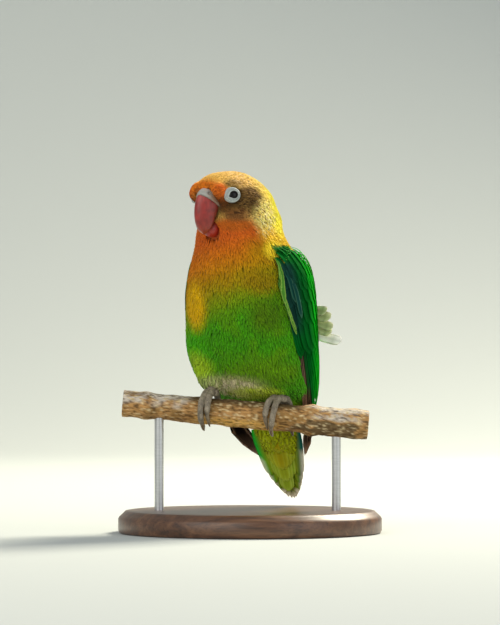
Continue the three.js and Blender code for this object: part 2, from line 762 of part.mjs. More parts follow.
// Twelve tail feathers in pairs, the middle pair longest and uppermost.
const tailPairs = 6;
const tailFan = { root: 1.9, tip: 1.25, half: 2.7, top: 0.9, drop: 0.42, shorter: 0.016 };
function tailFeather(pair, side) {
  const order = pair + 0.5;
  const length = 1 - tailFan.shorter * pair ** 1.7;
  const place = (share, aside, lift) =>
    tailPoint(
      mix(0.3, length, share),
      side * (order * mix(tailFan.root, tailFan.tip, share) + aside),
      tailFan.top - tailFan.drop * order + lift,
    );
  return solid(vane(place, tailFan.half, 0.15, longVane));
}

// Rows of coverts over and under the tail's root: where they start and end, and on which face they lie.
const tailCovertRows = [
  { face: 1, count: 4, from: 0.22, to: 0.44, lift: [2.4, 2], spread: 4.4 },
  { face: 1, count: 3, from: 0.36, to: 0.58, lift: [1.4, 1.8], spread: 4.2 },
  { face: -1, count: 4, from: 0.22, to: 0.5, lift: [2.6, 3.2], spread: 4.4 },
  { face: -1, count: 3, from: 0.38, to: 0.68, lift: [1.6, 2.7], spread: 4.2 },
];
function tailCovert(row, k) {
  const order = k - (row.count - 1) / 2;
  const place = (share, aside, lift) =>
    tailPoint(
      mix(row.from, row.to - 0.012 * order ** 2, share),
      order * row.spread + aside,
      row.face * (mix(row.lift[0], row.lift[1], share) - 0.12 * order ** 2) + lift,
    );
  return solid(vane(place, 3, 0, shortVane));
}
function tail() {
  const pieces = [];
  for (let pair = 0; pair < tailPairs; pair++) pieces.push(tailFeather(pair, 1), tailFeather(pair, -1));
  for (const row of tailCovertRows) {
    for (let k = 0; k < row.count; k++) pieces.push(tailCovert(row, k));
  }
  return pieces.reduce((whole, piece) => whole.add(piece), tailCore());
}

const perchSolid = solid(moved(perch(gap), perchInBird));
const feetSolids = feet.map((foot) => footSolid(foot, gap).transform(perchInBird.elements));
const inHead = (geometry) => solid(moved(geometry, headInBird));
const keepClear = [perchSolid, ...feetSolids];
const cut = (body, tools) => tools.reduce((rest, tool) => rest.subtract(tool), body);

const wings = [1, -1].map((side) => ({ side, name: side > 0 ? 'left' : 'right', bed: wingBed(side) }));
const beds = wings.map((wing) => wing.bed);
const thighHollows = feet.map((foot) => solid(thigh(foot, gap)));
const bird = new THREE.Group();
bird.position.copy(birdPlace);
bird.rotation.z = rad(birdYaw);

const torsoTools = [...keepClear, ...beds, ...thighHollows, tailCore(gap)];
const torsoSolid = cut(solid(trunk(46, neckBottom - gap / 2, 0.75)), torsoTools);
bird.add(node('torso', finished(torsoSolid), finishes.torso));
const neckSolid = cut(solid(trunk(neckBottom + gap / 2, neckTop - gap / 2, 0.5)), beds);
bird.add(node('neck', finished(neckSolid), finishes.neck));

const mouthTools = [upperBill(gap), cereBody(gap), lowerBill(gap), faceHollow()];
const faceTools = [...mouthTools, eyePocket(1), eyePocket(-1)].map(inHead);
const headSolid = cut(solid(trunk(neckTop + gap / 2, 160, 0.66, crown)), faceTools);
bird.add(node('head', finished(headSolid), finishes.head));

for (const foot of feet) {
  const thighSolid = cut(solid(thigh(foot)), [...keepClear, ...beds]);
  bird.add(node(`thigh_${foot.name}`, finished(thighSolid), finishes.torso));
}
for (const { side, name } of wings) bird.add(node(`wing_${name}`, finished(wing(side)), finishes.wing));
bird.add(node('tail', finished(tail()), finishes.tail));

const headGroup = new THREE.Group();
headGroup.position.copy(headPlace);
headGroup.rotation.z = rad(headYaw);
const toHead = headInBird.clone().invert();
const neckBelow = solid(trunk(neckBottom, neckTop + gap / 2, 0.5)).transform(toHead.elements);
const upperBillSolid = cut(solid(upperBill()), [neckBelow]);
const lowerBillSolid = cut(solid(lowerBill()), [neckBelow, solid(upperBill(gap))]);
const cereSolid = cut(solid(cereBody()), [solid(nostril(1)), solid(nostril(-1))]);
headGroup.add(node('upper_bill', finished(upperBillSolid), finishes.bill));
headGroup.add(node('lower_bill', finished(lowerBillSolid), finishes.bill));
headGroup.add(node('cere', finished(cereSolid), finishes.cere));
for (const [name, side] of [['left', 1], ['right', -1]]) {
  headGroup.add(node(`eye_ring_${name}`, finished(solid(eyeRing(side))), finishes.eyeRing));
  headGroup.add(node(`eye_${name}`, finished(solid(eyeball(side))), finishes.eye));
}
bird.add(headGroup);

const perchGroup = new THREE.Group();
perchGroup.position.z = perchHeight;
perchGroup.rotation.y = rad(perchSlope);
const rodTools = rodPlaces.map((x) => solid(moved(rod(x, gap), perchFrame.clone().invert())));
perchGroup.add(node('perch', finished(cut(solid(perch()), rodTools)), finishes.perch));
for (const foot of feet) {
  perchGroup.add(node(`foot_${foot.name}`, finished(footSolid(foot)), finishes.foot));
  for (const which of foot.toes) {
    perchGroup.add(node(`claw_${foot.name}_${which.tag}`, finished(solid(claw(foot, which))), finishes.claw));
  }
}

const stand = new THREE.Group();
const baseTools = rodPlaces.map((x) => solid(rod(x, gap)));
stand.add(node('stand_base', finished(cut(solid(standBase()), baseTools)), finishes.stand));
rodPlaces.forEach((x) => {
  const name = `stand_rod_${x < 0 ? 'left' : 'right'}`;
  stand.add(node(name, finished(solid(rod(x))), finishes.rod));
});

const model = new THREE.Group();
model.add(bird, perchGroup, stand);
export default model;
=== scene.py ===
import math

import bmesh
import bpy
import numpy as np
from mathutils import Matrix, Vector, noise
from mathutils.bvhtree import BVHTree


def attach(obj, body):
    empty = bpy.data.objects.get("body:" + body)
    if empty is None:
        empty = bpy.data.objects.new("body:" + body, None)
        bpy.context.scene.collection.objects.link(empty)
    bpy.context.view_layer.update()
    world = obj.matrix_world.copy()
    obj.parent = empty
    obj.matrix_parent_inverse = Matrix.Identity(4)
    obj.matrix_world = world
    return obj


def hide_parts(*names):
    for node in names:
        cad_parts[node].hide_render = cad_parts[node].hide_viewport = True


# A lovebird with a white eye ring, life size, on a cut length of branch over a plain display stand.
# Shapes are worked out in millimetres, in the bird's, the head's or the perch's own frame, then put in place.
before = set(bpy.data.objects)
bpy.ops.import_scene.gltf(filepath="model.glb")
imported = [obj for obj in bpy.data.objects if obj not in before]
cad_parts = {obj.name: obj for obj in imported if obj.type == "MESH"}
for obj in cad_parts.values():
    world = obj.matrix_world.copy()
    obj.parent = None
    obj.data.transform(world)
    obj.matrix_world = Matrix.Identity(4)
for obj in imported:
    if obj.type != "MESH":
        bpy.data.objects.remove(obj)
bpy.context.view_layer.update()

draw = np.random.default_rng(11)
millimetre = 0.001
birdFrame = (
    Matrix.Translation((-0.0025, 0, 0))
    @ Matrix.Rotation(math.radians(-25), 4, "Z")
    @ Matrix.Scale(millimetre, 4)
)
headInBird = Matrix.Translation((0, -13.2, 0)) @ Matrix.Rotation(math.radians(-19), 4, "Z")
headFrame = birdFrame @ headInBird
perchFrame = (
    Matrix.Translation((0, 0, 0.052))
    @ Matrix.Rotation(math.radians(5), 4, "Y")
    @ Matrix.Scale(millimetre, 4)
)
worldFrame = Matrix.Scale(millimetre, 4)


def linear(hexColour):
    value = np.array([int(hexColour[i:i + 2], 16) / 255 for i in (1, 3, 5)])
    return np.where(value <= 0.04045, value / 12.92, ((value + 0.055) / 1.055) ** 2.4)


def colourOf(hexColour):
    return (*linear(hexColour), 1)


def ease(value, low, high):
    share = np.clip((value - low) / (high - low), 0, 1)
    return share * share * (3 - 2 * share)


def mix(a, b, share):
    return a + (b - a) * share


def unit(vectors):
    return vectors / np.maximum(np.linalg.norm(vectors, axis=-1, keepdims=True), 1e-9)


def placed(points, matrix):
    table = np.array(matrix)
    return points @ table[:3, :3].T + table[:3, 3]


def curved(rows, steps=12):  # the rows with smooth steps between them, and their places in the list
    rows = np.array(rows, float)
    ends = np.vstack([2 * rows[0] - rows[1], rows, 2 * rows[-1] - rows[-2]])
    p0, p1, p2, p3 = (ends[i:len(ends) - 3 + i, None] for i in range(4))
    u = (np.arange(steps) / steps)[None, :, None]
    smooth = p1 + 0.5 * u * (p2 - p0 + u * (2 * p0 - 5 * p1 + 4 * p2 - p3 + u * (3 * (p1 - p2) + p3 - p0)))
    table = np.vstack([smooth.reshape(-1, rows.shape[1]), rows[-1]])
    return np.linspace(0, len(rows) - 1, len(table)), table


def along(curve, place):
    places, table = curve
    return [np.interp(place, places, column) for column in table.T]


def grain(points, size, offset=0.0):  # smooth noise from -1 to 1, with lumps of about that size
    return np.array([noise.noise(Vector(p)) for p in points / size + offset])


def deselect():
    bpy.ops.object.select_all(action="DESELECT")


def activate(piece):
    deselect()
    piece.select_set(True)
    bpy.context.view_layer.objects.active = piece


def vertices(piece):
    co = np.zeros(len(piece.data.vertices) * 3)
    piece.data.vertices.foreach_get("co", co)
    return co.reshape(-1, 3)


def applyModifier(piece, kind, **settings):
    activate(piece)
    bpy.ops.object.modifier_add(type=kind)
    modifier = piece.modifiers[-1]
    for key, value in settings.items():
        setattr(modifier, key, value)
    bpy.ops.object.modifier_apply(modifier=modifier.name)


def selectWhere(piece, kind, test):  # selects the edges or faces that pass a test, in edit mode
    bpy.ops.mesh.select_mode(type=kind)
    bpy.ops.mesh.select_all(action="DESELECT")
    mesh = bmesh.from_edit_mesh(piece.data)
    for part in mesh.edges if kind == "EDGE" else mesh.faces:
        part.select = test(part)
    bmesh.update_edit_mesh(piece.data)


def turnFaces(inside=False):  # turns all faces of the active piece out, or in, and leaves edit mode
    bpy.ops.object.mode_set(mode="EDIT")
    bpy.ops.mesh.select_all(action="SELECT")
    bpy.ops.mesh.normals_make_consistent(inside=inside)
    bpy.ops.object.mode_set(mode="OBJECT")


def sleeve(name, sides, cuts, place, ring=False):
    # A cylinder cut into levels, its points put where place(share, angle) says. A ring joins its own ends.
    deselect()
    bpy.ops.mesh.primitive_cylinder_add(vertices=sides, radius=1, depth=1, end_fill_type="NGON")
    piece = bpy.context.object
    piece.name = piece.data.name = name
    bpy.ops.object.mode_set(mode="EDIT")
    selectWhere(piece, "EDGE", lambda edge: abs(edge.verts[0].co.z - edge.verts[1].co.z) > 0.5)
    bpy.ops.mesh.subdivide(number_cuts=cuts)
    bpy.ops.object.mode_set(mode="OBJECT")
    co = vertices(piece)
    points = place(co[:, 2] + 0.5, np.arctan2(co[:, 0], co[:, 1]) % (2 * math.pi))
    piece.data.vertices.foreach_set("co", points.astype(np.float32).ravel())
    piece.data.update()
    bpy.ops.object.mode_set(mode="EDIT")
    if ring:
        selectWhere(piece, "FACE", lambda face: len(face.verts) > 4)
        bpy.ops.mesh.delete(type="ONLY_FACE")
        bpy.ops.mesh.select_all(action="SELECT")
        bpy.ops.mesh.remove_doubles(threshold=0.001)
    bpy.ops.mesh.select_mode(type="VERT")
    turnFaces()
    bpy.ops.object.shade_smooth()
    return piece


def tubePlace(path, radii, aside, shape=None):  # a tube along a curve, its angle 0 square to the axis aside
    curve = curved(path)
    widths = curved([[r] for r in radii])

    def centre(share):
        return np.stack(along(curve, share * (len(path) - 1)), -1)

    def place(share, angle):
        middle = centre(share)
        ahead = unit(centre(np.minimum(share + 0.01, 1)) - centre(np.maximum(share - 0.01, 0)))
        up = unit(np.cross(np.array(aside, float), ahead))
        side = np.cross(ahead, up)
        radius = along(widths, share * (len(radii) - 1))[0]
        if shape is not None:
            radius = radius * shape(share, angle)
        return middle + (up * np.cos(angle)[:, None] + side * np.sin(angle)[:, None]) * radius[:, None]

    return place


def joined(pieces, name):
    deselect()
    for piece in pieces:
        piece.select_set(True)
    bpy.context.view_layer.objects.active = pieces[0]
    if len(pieces) > 1:
        bpy.ops.object.join()
    pieces[0].name = pieces[0].data.name = name
    return pieces[0]


def settle(piece, place):  # puts a finished piece where it belongs, with its place in its mesh
    activate(piece)
    piece.matrix_world = place
    bpy.ops.object.transform_apply(location=True, rotation=True, scale=True)


def finished(piece, material, slotName, *nodes):
    piece.data.materials.clear()
    piece.data.materials.append(material)
    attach(piece, "root")
    if nodes:
        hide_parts(*nodes)


def addNode(tree, kind, settings=None, links=None):
    node = tree.nodes.new(kind)
    for key, value in (settings or {}).items():
        if isinstance(key, str) and hasattr(node, key):
            setattr(node, key, value)
        else:
            node.inputs[key].default_value = value
    for key, source in (links or {}).items():
        tree.links.new(source, node.inputs[key])
    return node


def ramp(tree, source, stops):
    node = addNode(tree, "ShaderNodeValToRGB", {}, {"Fac": source})
    while len(node.color_ramp.elements) < len(stops):
        node.color_ramp.elements.new(0.5)
    for element, (place, colour) in zip(node.color_ramp.elements, stops):
        element.position = place
        element.color = colourOf(colour) if isinstance(colour, str) else (*colour, 1)
    return node


def surface(name, settings, textures=(), marked=True, blend=1.0, bump=None):
    # The colour is the piece's marking, if it has one, times a ramp over each texture.
    # A texture is its kind, its settings, its stretch or a function that gives its vector, and the stops.
    material = bpy.data.materials.new(name)
    material.use_nodes = True
    tree = material.node_tree
    shader = tree.nodes["Principled BSDF"]
    for key, value in settings.items():
        shader.inputs[key].default_value = value
    colour = None
    if marked:
        colour = addNode(tree, "ShaderNodeAttribute", {"attribute_name": "Marking"}).outputs["Color"]
    for kind, texture, stretch, stops in textures:
        vector = addNode(tree, "ShaderNodeTexCoord").outputs["Object"]
        if callable(stretch):
            vector = stretch(tree)
        elif stretch:
            vector = addNode(tree, "ShaderNodeMapping", {"Scale": stretch}, {"Vector": vector}).outputs[0]
        pattern = addNode(tree, f"ShaderNodeTex{kind}", texture, {"Vector": vector})
        height = pattern.outputs["Distance" if kind == "Voronoi" else "Fac"]
        shades = ramp(tree, height, stops).outputs["Color"]
        if kind == "Voronoi":  # cracks are as deep as they are dark
            height = shades
        if colour is not None:
            product = {"data_type": "RGBA", "blend_type": "MULTIPLY", 0: blend}
            shades = addNode(tree, "ShaderNodeMix", product, {6: colour, 7: shades}).outputs[2]
        colour = shades
    if colour is not None:
        tree.links.new(colour, shader.inputs["Base Color"])
    if bump:
        depth = {"Strength": bump[0], "Distance": bump[1]}
        relief = addNode(tree, "ShaderNodeBump", depth, {"Height": height})
        tree.links.new(relief.outputs["Normal"], shader.inputs["Normal"])
    return material


# Camera, light and stage.
view = {"distance": 2.0, "height": 0.097, "tall": 0.275, "sensor": 36}
bpy.ops.object.camera_add(location=(0, -view["distance"], view["height"]), rotation=(math.radians(90), 0, 0))
camera = bpy.context.object
camera.data.sensor_width = view["sensor"]
camera.data.lens = view["sensor"] * view["distance"] / view["tall"]
camera.data.clip_end = 20
bpy.context.scene.camera = camera

lamps = [  # name, place, what it points at, size, watts, colour
    ("window_light", (-1.0, -1.6, 1.1), (0, 0, 0.09), 2.0, 22, "#fffcf6"),
    ("rim_light", (0.7, 0.8, 1.0), (0, 0, 0.11), 0.5, 40, "#fff6e0"),
    ("fill_light", (1.4, -1.2, 0.5), (0, 0, 0.09), 1.4, 6, "#f6f8ff"),
]
for name, place, aim, size, watts, colour in lamps:
    bpy.ops.object.light_add(type="AREA", location=place)
    lamp = bpy.context.object
    lamp.name = name
    lamp.rotation_euler = (Vector(aim) - Vector(place)).to_track_quat("-Z", "Y").to_euler()
    lamp.data.size = size
    lamp.data.energy = watts
    lamp.data.color = linear(colour)

world = bpy.data.worlds.new("studio")
bpy.context.scene.world = world
world.use_nodes = True
world.node_tree.nodes["Background"].inputs["Color"].default_value = colourOf("#eef2f4")
world.node_tree.nodes["Background"].inputs["Strength"].default_value = 0.5
bpy.context.scene.view_settings.view_transform = "Standard"

paperSheet = {"size": 6, "place": (0, -1, 0), "rise": 3, "bend": 0.9, "steps": 24}
deselect()
bpy.ops.mesh.primitive_plane_add(size=paperSheet["size"], location=paperSheet["place"])
backdrop = bpy.context.object
backdrop.name = "backdrop"
bpy.ops.object.mode_set(mode="EDIT")
selectWhere(backdrop, "EDGE", lambda edge: all(vertex.co.y > 2 for vertex in edge.verts))
bpy.ops.mesh.extrude_region_move(TRANSFORM_OT_translate={"value": (0, 0, paperSheet["rise"])})
selectWhere(backdrop, "EDGE", lambda edge: all(vertex.co.y > 2 and vertex.co.z < 1 for vertex in edge.verts))
bpy.ops.mesh.bevel(offset=paperSheet["bend"], segments=paperSheet["steps"])
turnFaces(inside=True)
bpy.ops.object.shade_smooth()
bpy.ops.object.transform_apply(location=True, rotation=True, scale=True)
# Background paper, matt and pale, so that it only shows the object's own soft shadow.
paper = surface("Matt background paper", {"Base Color": colourOf("#bfc5c3"), "Roughness": 0.95}, marked=False)
backdrop.data.materials.append(paper)
print("stage, light and camera done")

# Level sections from the tail root up to the crown: height, spine x and y, reach to the front, to the back
# and to each side, and the section's turn in degrees.
trunkRows = [
    [46, 0, 31, 4.5, 3.5, 7, 0],
    [52, 0, 27.5, 10, 8, 14.5, 0],
    [58, 0, 22.5, 14, 13.5, 21, 0],
    [63, -0.5, 17.5, 19, 18, 24.8, 0],
    [70, -1, 12.5, 22, 21.5, 27.8, 0],
    [80, -1.1, 8.5, 24.4, 24.5, 29.3, 0],
    [92, -0.6, 5.5, 25.6, 25.5, 28.9, 0],
    [104, 0, 3, 25.5, 25.8, 28.1, 0],
    [114, 0.8, 0, 24, 26.4, 26.3, 0],
    [121, 0.9, -3.2, 21.6, 26.2, 23.8, -3.5],
    [127.5, 0.2, -6.8, 18.6, 25.6, 19.9, -10],
    [133, -0.5, -10.5, 15.6, 26, 17.4, -16],
    [138, 0, -12.5, 14, 25.6, 16.6, -19],
    [143, 0, -13.2, 15, 22.6, 16, -19],
    [148, 0, -13.2, 20.2, 19.6, 15.5, -19],
    [152, 0, -13.2, 19.4, 15.6, 13.4, -19],
    [155.2, 0, -13.6, 16, 11.4, 10.4, -19],
    [157.6, 0, -14.4, 11, 6.6, 7, -19],
    [158.6, 0, -15.4, 5, 3.6, 3.6, -19],
    [158.95, 0, -15.4, 1.2, 1.2, 1, -19],
]
# Below the flanks the folded wings leave the body and taper straight down beside the tail.
taperRows = [
    [28, 0, 38.5, 7, 8.5, 11.5, 0],
    [34, 0, 35, 8, 9.5, 14, 0],
    [44, 0, 29.5, 11, 12.5, 18, 0],
    [54, 0, 23.5, 14.5, 17, 21.2, 0],
    [62, 0, 18.4, 18.6, 20, 24.3, 0],
    [70, -1, 13, 22, 22.3, 27.9, 0],
]
trunkCurve = curved(trunkRows)
wingCurve = curved(taperRows + [row for row in trunkRows if row[0] >= 80])
fullness = 2.15  # how square a section is: 2 is an ellipse


def rimPoint(section, angle):  # a point of a level section, at an angle from the front in radians
    z, x, y, front, back, half, yaw = section
    sine, cosine = np.sin(angle), np.cos(angle)
    side = np.sign(sine) * np.abs(sine) ** (2 / fullness)
    ahead = np.sign(cosine) * np.abs(cosine) ** (2 / fullness)
    px = half * side * (1 - 0.1 * np.maximum(0, ahead))
    py = -np.where(ahead > 0, front, back) * ahead
    turn = np.radians(yaw)
    return np.stack(
        [np.cos(turn) * px - np.sin(turn) * py + x, np.sin(turn) * px + np.cos(turn) * py + y, z + 0 * px], -1
    )


def surfacePoint(at, place, angle, inward):  # a point below or above a skinned surface
    step = 0.05
    up = at(place + step, angle) - at(place - step, angle)
    around = at(place, angle + 0.02) - at(place, angle - 0.02)
    normal = unit(np.cross(around, up))
    return at(place, angle) - normal * inward[..., None]


def trunkAt(place, angle):
    return rimPoint(along(trunkCurve, np.clip(place, 0, len(trunkRows) - 1)), angle)


def sideAngle(z, points):  # the angle from the front round the spine, in degrees, positive on the bird's left
    table = trunkCurve[1]
    x, y = (np.interp(z, table[:, 0], table[:, k]) for k in (1, 2))
    return np.degrees(np.arctan2(points[:, 0] - x, y - points[:, 1]))


birdToHead = headInBird.inverted()
perchInBird = birdFrame.inverted() @ perchFrame


def onHead(points):  # in the head's own frame, with its two sides folded into one
    head = placed(points, birdToHead)
    return np.stack([np.abs(head[:, 0]), head[:, 1], points[:, 2]], -1)


def coatDepth(points):  # how far the skin lies under the feathers' outside
    head = onHead(points)
    hx, hy, z = head.T
    depth = np.interp(z, [46, 60, 75, 120, 131, 140, 160], [1.5, 1.9, 2.1, 2.1, 1.6, 1.2, 1.2])
    # The face is hollow behind the cere, and the feathers beside the cere swell forward round it.
    tall = np.where(z > 146.8, 6.6, 5.2)
    hollow = (hx / 7.4) ** 2 + ((z - 146.8) / tall) ** 2
    front = 1 - ease(hy, -12, -9)
    lobe = near(head, (6.8, -17, 149.2), (3.4, 4.5, 4.6))
    return depth + 5.2 * (1 - ease(hollow, 0.55, 1.05)) * front - 1.2 * lobe


def skinPlace(share, angle):
    place = share * (len(trunkRows) - 1)
    outside = trunkAt(place, angle)
    return surfacePoint(trunkAt, place, angle, coatDepth(outside))


def wingAt(z, angle):
    table = wingCurve[1]
    return rimPoint([z] + [np.interp(z, table[:, 0], table[:, k]) for k in range(1, 7)], angle)


wingShape = {
    "rightBack": 18, "tipTurn": 30, "sink": 2.4, "swell": 1.9, "thinFrom": 103, "thinTo": 71, "thin": -0.7,
}


def wingBack(z, side):  # how many degrees further back than the left wing a wing lies
    back = wingShape["rightBack"] * np.clip((z - 45) / 45, 0, 1)
    return (back + wingShape["tipTurn"] * np.clip((48 - z) / 16, 0, 1)) * (side < 0)


def wingPoint(z, folded, lift, side):  # over the body where the wing lies, folded degrees from the front
    angle = np.radians(folded + wingBack(z, side)) * side
    up = wingAt(z + 0.5, angle) - wingAt(z - 0.5, angle)
    around = (wingAt(z, angle + 0.02 * side) - wingAt(z, angle - 0.02 * side)) * side
    return wingAt(z, angle) + unit(np.cross(around, up)) * np.asarray(lift)[..., None]


armRows = curved([
    [124, 88, 100], [121.5, 78, 114], [117, 64, 126], [111, 58, 134], [103, 60, 139],
    [95, 66, 141], [87, 70, 141], [79, 73, 139], [71, 77, 135], [65, 84, 128],
])


def armPlace(side):  # the folded arm's flesh, a flat oval from the shoulder down the flank
    def place(share, angle):
        z, front, back = along(armRows, share * 9)
        thinning = np.clip((wingShape["thinFrom"] - z) / (wingShape["thinFrom"] - wingShape["thinTo"]), 0, 1)
        top = mix(wingShape["swell"], wingShape["thin"], thinning) - 0.5
        bottom = -wingShape["sink"] - 0.8
        folded = mix(front + 2, back - 2, 0.5 + 0.5 * np.cos(angle))
        lift = mix(bottom, top, 0.5 + 0.5 * np.sin(angle))
        return wingPoint(z, folded, lift, side)

    return place


# The centre lines of the tail, the feet and the legs.
tailRoot = np.array([0, 27, 58.0])
tailTip = np.array([1, 49.4, 13.2])
tailLength = np.linalg.norm(tailTip - tailRoot)
tailAxis = unit(tailTip - tailRoot)
tailBack = unit(np.array([0, -tailAxis[2], tailAxis[1]]))  # out of the tail's upper side
tailSide = unit(np.cross(tailBack, tailAxis))


def tailPoint(share, aside, lift):
    return (
        tailRoot
        + np.asarray(share)[..., None] * tailLength * tailAxis
        + np.asarray(aside)[..., None] * tailSide
        + np.asarray(lift)[..., None] * tailBack
    )


tailCore = curved([  # share of the tail's length, half width, thickness
    [0.02, 9, 9], [0.08, 9.3, 8.2], [0.2, 9.8, 6.6], [0.34, 9.2, 4.6], [0.48, 7.6, 2.4], [0.58, 5, 1],
])


def tailPlace(share, angle):
    at, half, thick = along(tailCore, share * 5)
    return tailPoint(at, half * np.cos(angle), thick / 2 * np.sin(angle))


def inBird(x, y, z):
    return np.array(birdFrame.inverted() @ Vector((x * millimetre, y * millimetre, z * millimetre)))


foot = {"toeTop": 98, "grip": 8.2, "toe": 1.4, "clawDrift": 4.8}
feet = [  # each foot's place along the perch, its ankle and hip, and its toes: start, middle, last, end angle
    {
        "name": "right", "x": -17.4, "ankle": inBird(-17.4, 4.5, 64.8), "hip": (-13, 9, 82),
        "toes": [
            ("front_outer", -1, -0.8, -4.3, -3.2, -44), ("front_inner", -1, 0.9, -1.2, -1.3, -12),
            ("back_outer", 1, -1.0, -2.6, -3.4, -28), ("back_inner", 1, 0.8, 2.4, 2.8, 2),
        ],
    },
    {
        "name": "left", "x": 13.2, "ankle": inBird(13.6, 5.5, 63.4), "hip": (13, 12, 82),
        "toes": [
            ("front_outer", -1, -0.4, -2.8, -3.6, -42), ("front_inner", -1, -1.8, -5.6, -6.6, -4),
            ("back_outer", 1, 1.0, 4.2, 5.2, -26), ("back_inner", 1, -0.6, 0.8, 1.4, 2),
        ],
    },
]


def toePoint(leg, toe, share, lift=0.0):  # the ball of the foot at 0, the last joint at 1, then the claw
    way, start, middle, last, end = toe[1:]
    angle = np.radians(mix(foot["toeTop"], end, share))
    within = np.minimum(share, 1)
    bow = middle - (start + last) / 2
    aside = mix(start, last, within) + 4 * bow * within * (1 - within)
    aside = aside + foot["clawDrift"] * np.maximum(0, share - 1)
    reach = foot["grip"] + lift
    return np.stack([leg["x"] + aside, reach * np.cos(angle) * way, reach * np.sin(angle)], -1)


# The plumage's markings, the same for the skin and for the feathers over it.
def painted(base, layers):  # colours laid over a base in turn, each as far as its share says
    colour = linear(base) if isinstance(base, str) else base
    for hexColour, share in layers:
        colour = mix(colour, linear(hexColour), share[..., None])
    return colour

def near(points, centre, radii, soft=0.35):  # 1 inside an oval spot, falling to 0 past its edge
    distance = np.linalg.norm((points - np.array(centre)) / np.array(radii), axis=1)
    return 1 - ease(distance, 1 - soft, 1 + soft)


def markings(points):  # points in the bird's frame; the plumage's colour at each
    face = onHead(points)
    hy, z = face[:, 1], points[:, 2]
    angle = sideAngle(z, points)
    turned = np.abs(angle)
    lumps = grain(points, 7.0)
    fine = grain(points, 2.2, 30)
    rear = ease(turned, 88, 120)
    behindTail = ease((points - tailRoot) @ tailBack, -1, 2)
    rear = mix(rear, behindTail, 1 - ease(z, 52, 62))
    fore = 1 - rear
    edge = 101 + 0.14 * angle + 3 * lumps
    shoulder = ease(turned, 66, 72) * (1 - ease(turned, 106, 114))
    shoulder = shoulder * ease(z, 114, 118) * (1 - ease(z, 125.5, 127.5))
    colour = painted("#469c0c", [  # belly and flanks
        ("#6a9a08", ease(lumps, -0.1, 0.5) * 0.5),
        ("#4abe06", near(points, (-24, -8, 80), (13, 14, 24), 0.5) * 0.8),
        ("#b4d428", near(points, (-20, -8, 73), (9, 12, 7), 0.6) * 0.85),
        ("#6c960a", near(points, (13, -9, 70), (18, 14, 8), 0.5) * 0.7),
        ("#c8c088", near(points, (-6, -3, 66), (15, 12, 4.6), 0.5) * (0.75 + 0.25 * fine)),
        ("#f6eac0", near(points, (-3.5, -3, 63.5), (12, 12, 4.4), 0.3) * ease(fine + lumps, -0.6, 0.1)),
        ("#c8dc38", near(points, (5, -2, 61), (14, 10, 4), 0.4) * 0.85),
        # The breast runs from orange under the throat through amber and old gold into the green of the belly.
        ("#97960a", ease(z, edge - 9, edge + 8) * fore),
        ("#bf8a0a", ease(z, edge + 3, edge + 15) * fore),
        ("#e6b408", near(points, (-17, -17, 101), (8, 9, 10.5), 0.45)),
        # Painted shade: dark olive green on the breast beside the left wing's front edge.
        ("#56700a", near(points, (18, -15, 96), (8, 9, 8), 0.6) * 0.7),
        ("#a07808", near(points, (16, -17, 111), (8, 8, 5), 0.6) * 0.7),
        ("#dd7d14", ease(z - 0.1 * angle, 112, 124) * fore * (1 - ease(angle, 20, 48))),
        ("#d8641e", ease(z - 0.06 * angle, 120, 131) * fore),
        # The back is dark green, the rump blue, and the vent yellow green.
        ("#1d7a16", rear * (1 - ease(z, 119, 128))),
        ("#2a5fa0", rear * (1 - ease(z + 3 * lumps, 70, 82))),
        ("#b4c81c", fore * (1 - ease(z, 50, 60))),
        # A yellow collar lies round the back of the neck and down to the shoulder, over the wing's green top.
        ("#f0c01c", ease(turned, 52, 82) * ease(z, 119, 124) * (1 - ease(z, 139, 146))),
        ("#f2d028", near(points, (20.5, -11.5, 124.5), (5.5, 7, 4.6))),
        ("#187a22", shoulder),
    ])

    throat = 1 - ease(z + 0.12 * hy, 133.5, 137.5)
    ear = near(face, (16, 4.5, 139.6), (4, 6.5, 6), 0.5) * ease(fine + 0.5 * lumps, -0.6, 0.1)
    dusk = 0 * z
    for share, centre, radii, soft in (  # a dusky mask from the gape under and behind the eye
        (1, (14.2, -5, 147), (4.5, 8.6, 5.4), 0.35), (1, (10.8, -9.6, 142.2), (5.4, 6.6, 4.2), 0.4),
        (0.9, (8, -13, 142.6), (4, 4.5, 3.2), 0.5), (1, (14, -2.2, 144), (4.5, 4.4, 4), 0.5),
        (0.75, (10.2, -9.4, 153.2), (3, 5, 2), 0.5),
    ):
        dusk = np.maximum(dusk, share * near(face, centre, radii, soft))
    crown = painted("#e0b45c", [
        # Lighter towards the back of the head: partly the plumage's colour, partly a painted glow of light
        # from behind.
        ("#e4b864", ease(hy, -12, -4)),
        ("#f0d05c", ease(hy, -3, 6)),
        ("#ffe24a", ease(hy, 5, 13)),
        ("#eab250", near(face, (4, -18, 153.4), (8, 5, 3.4), 0.5)),
        ("#ff8222", near(face, (0, -19.5, 151.2), (9.5, 5, 3.8), 0.45)),
        ("#dc6c22", near(face, (8.8, -16, 149.2), (3.4, 4, 4.4), 0.4)),
        ("#9c4f1e", near(face, (7.6, -14.6, 144.6), (3.4, 4, 3.6), 0.5)),
        ("#d8641e", throat * (1 - ease(hy, -2, 7))),
        ("#ecb838", throat * ease(hy, -2, 7)),
        ("#cf6a20", near(face, (10.5, -9, 135.4), (7.5, 9, 3), 0.5)),
        ("#503419", dusk * (0.92 + 0.08 * fine)),
        ("#8c5a30", near(face, (10.8, -8, 139.4), (5.8, 6.4, 2.6), 0.6) * 0.85),
        # Straw yellow at the ear, and clear yellow on the nape.
        ("#f6e078", ear * 0.9),
        ("#ffe03c", ease(hy, 8, 14) * 0.85),
    ])
    return np.clip(mix(colour, crown, ease(z, 128, 134)[:, None]), 0.002, 0.9)


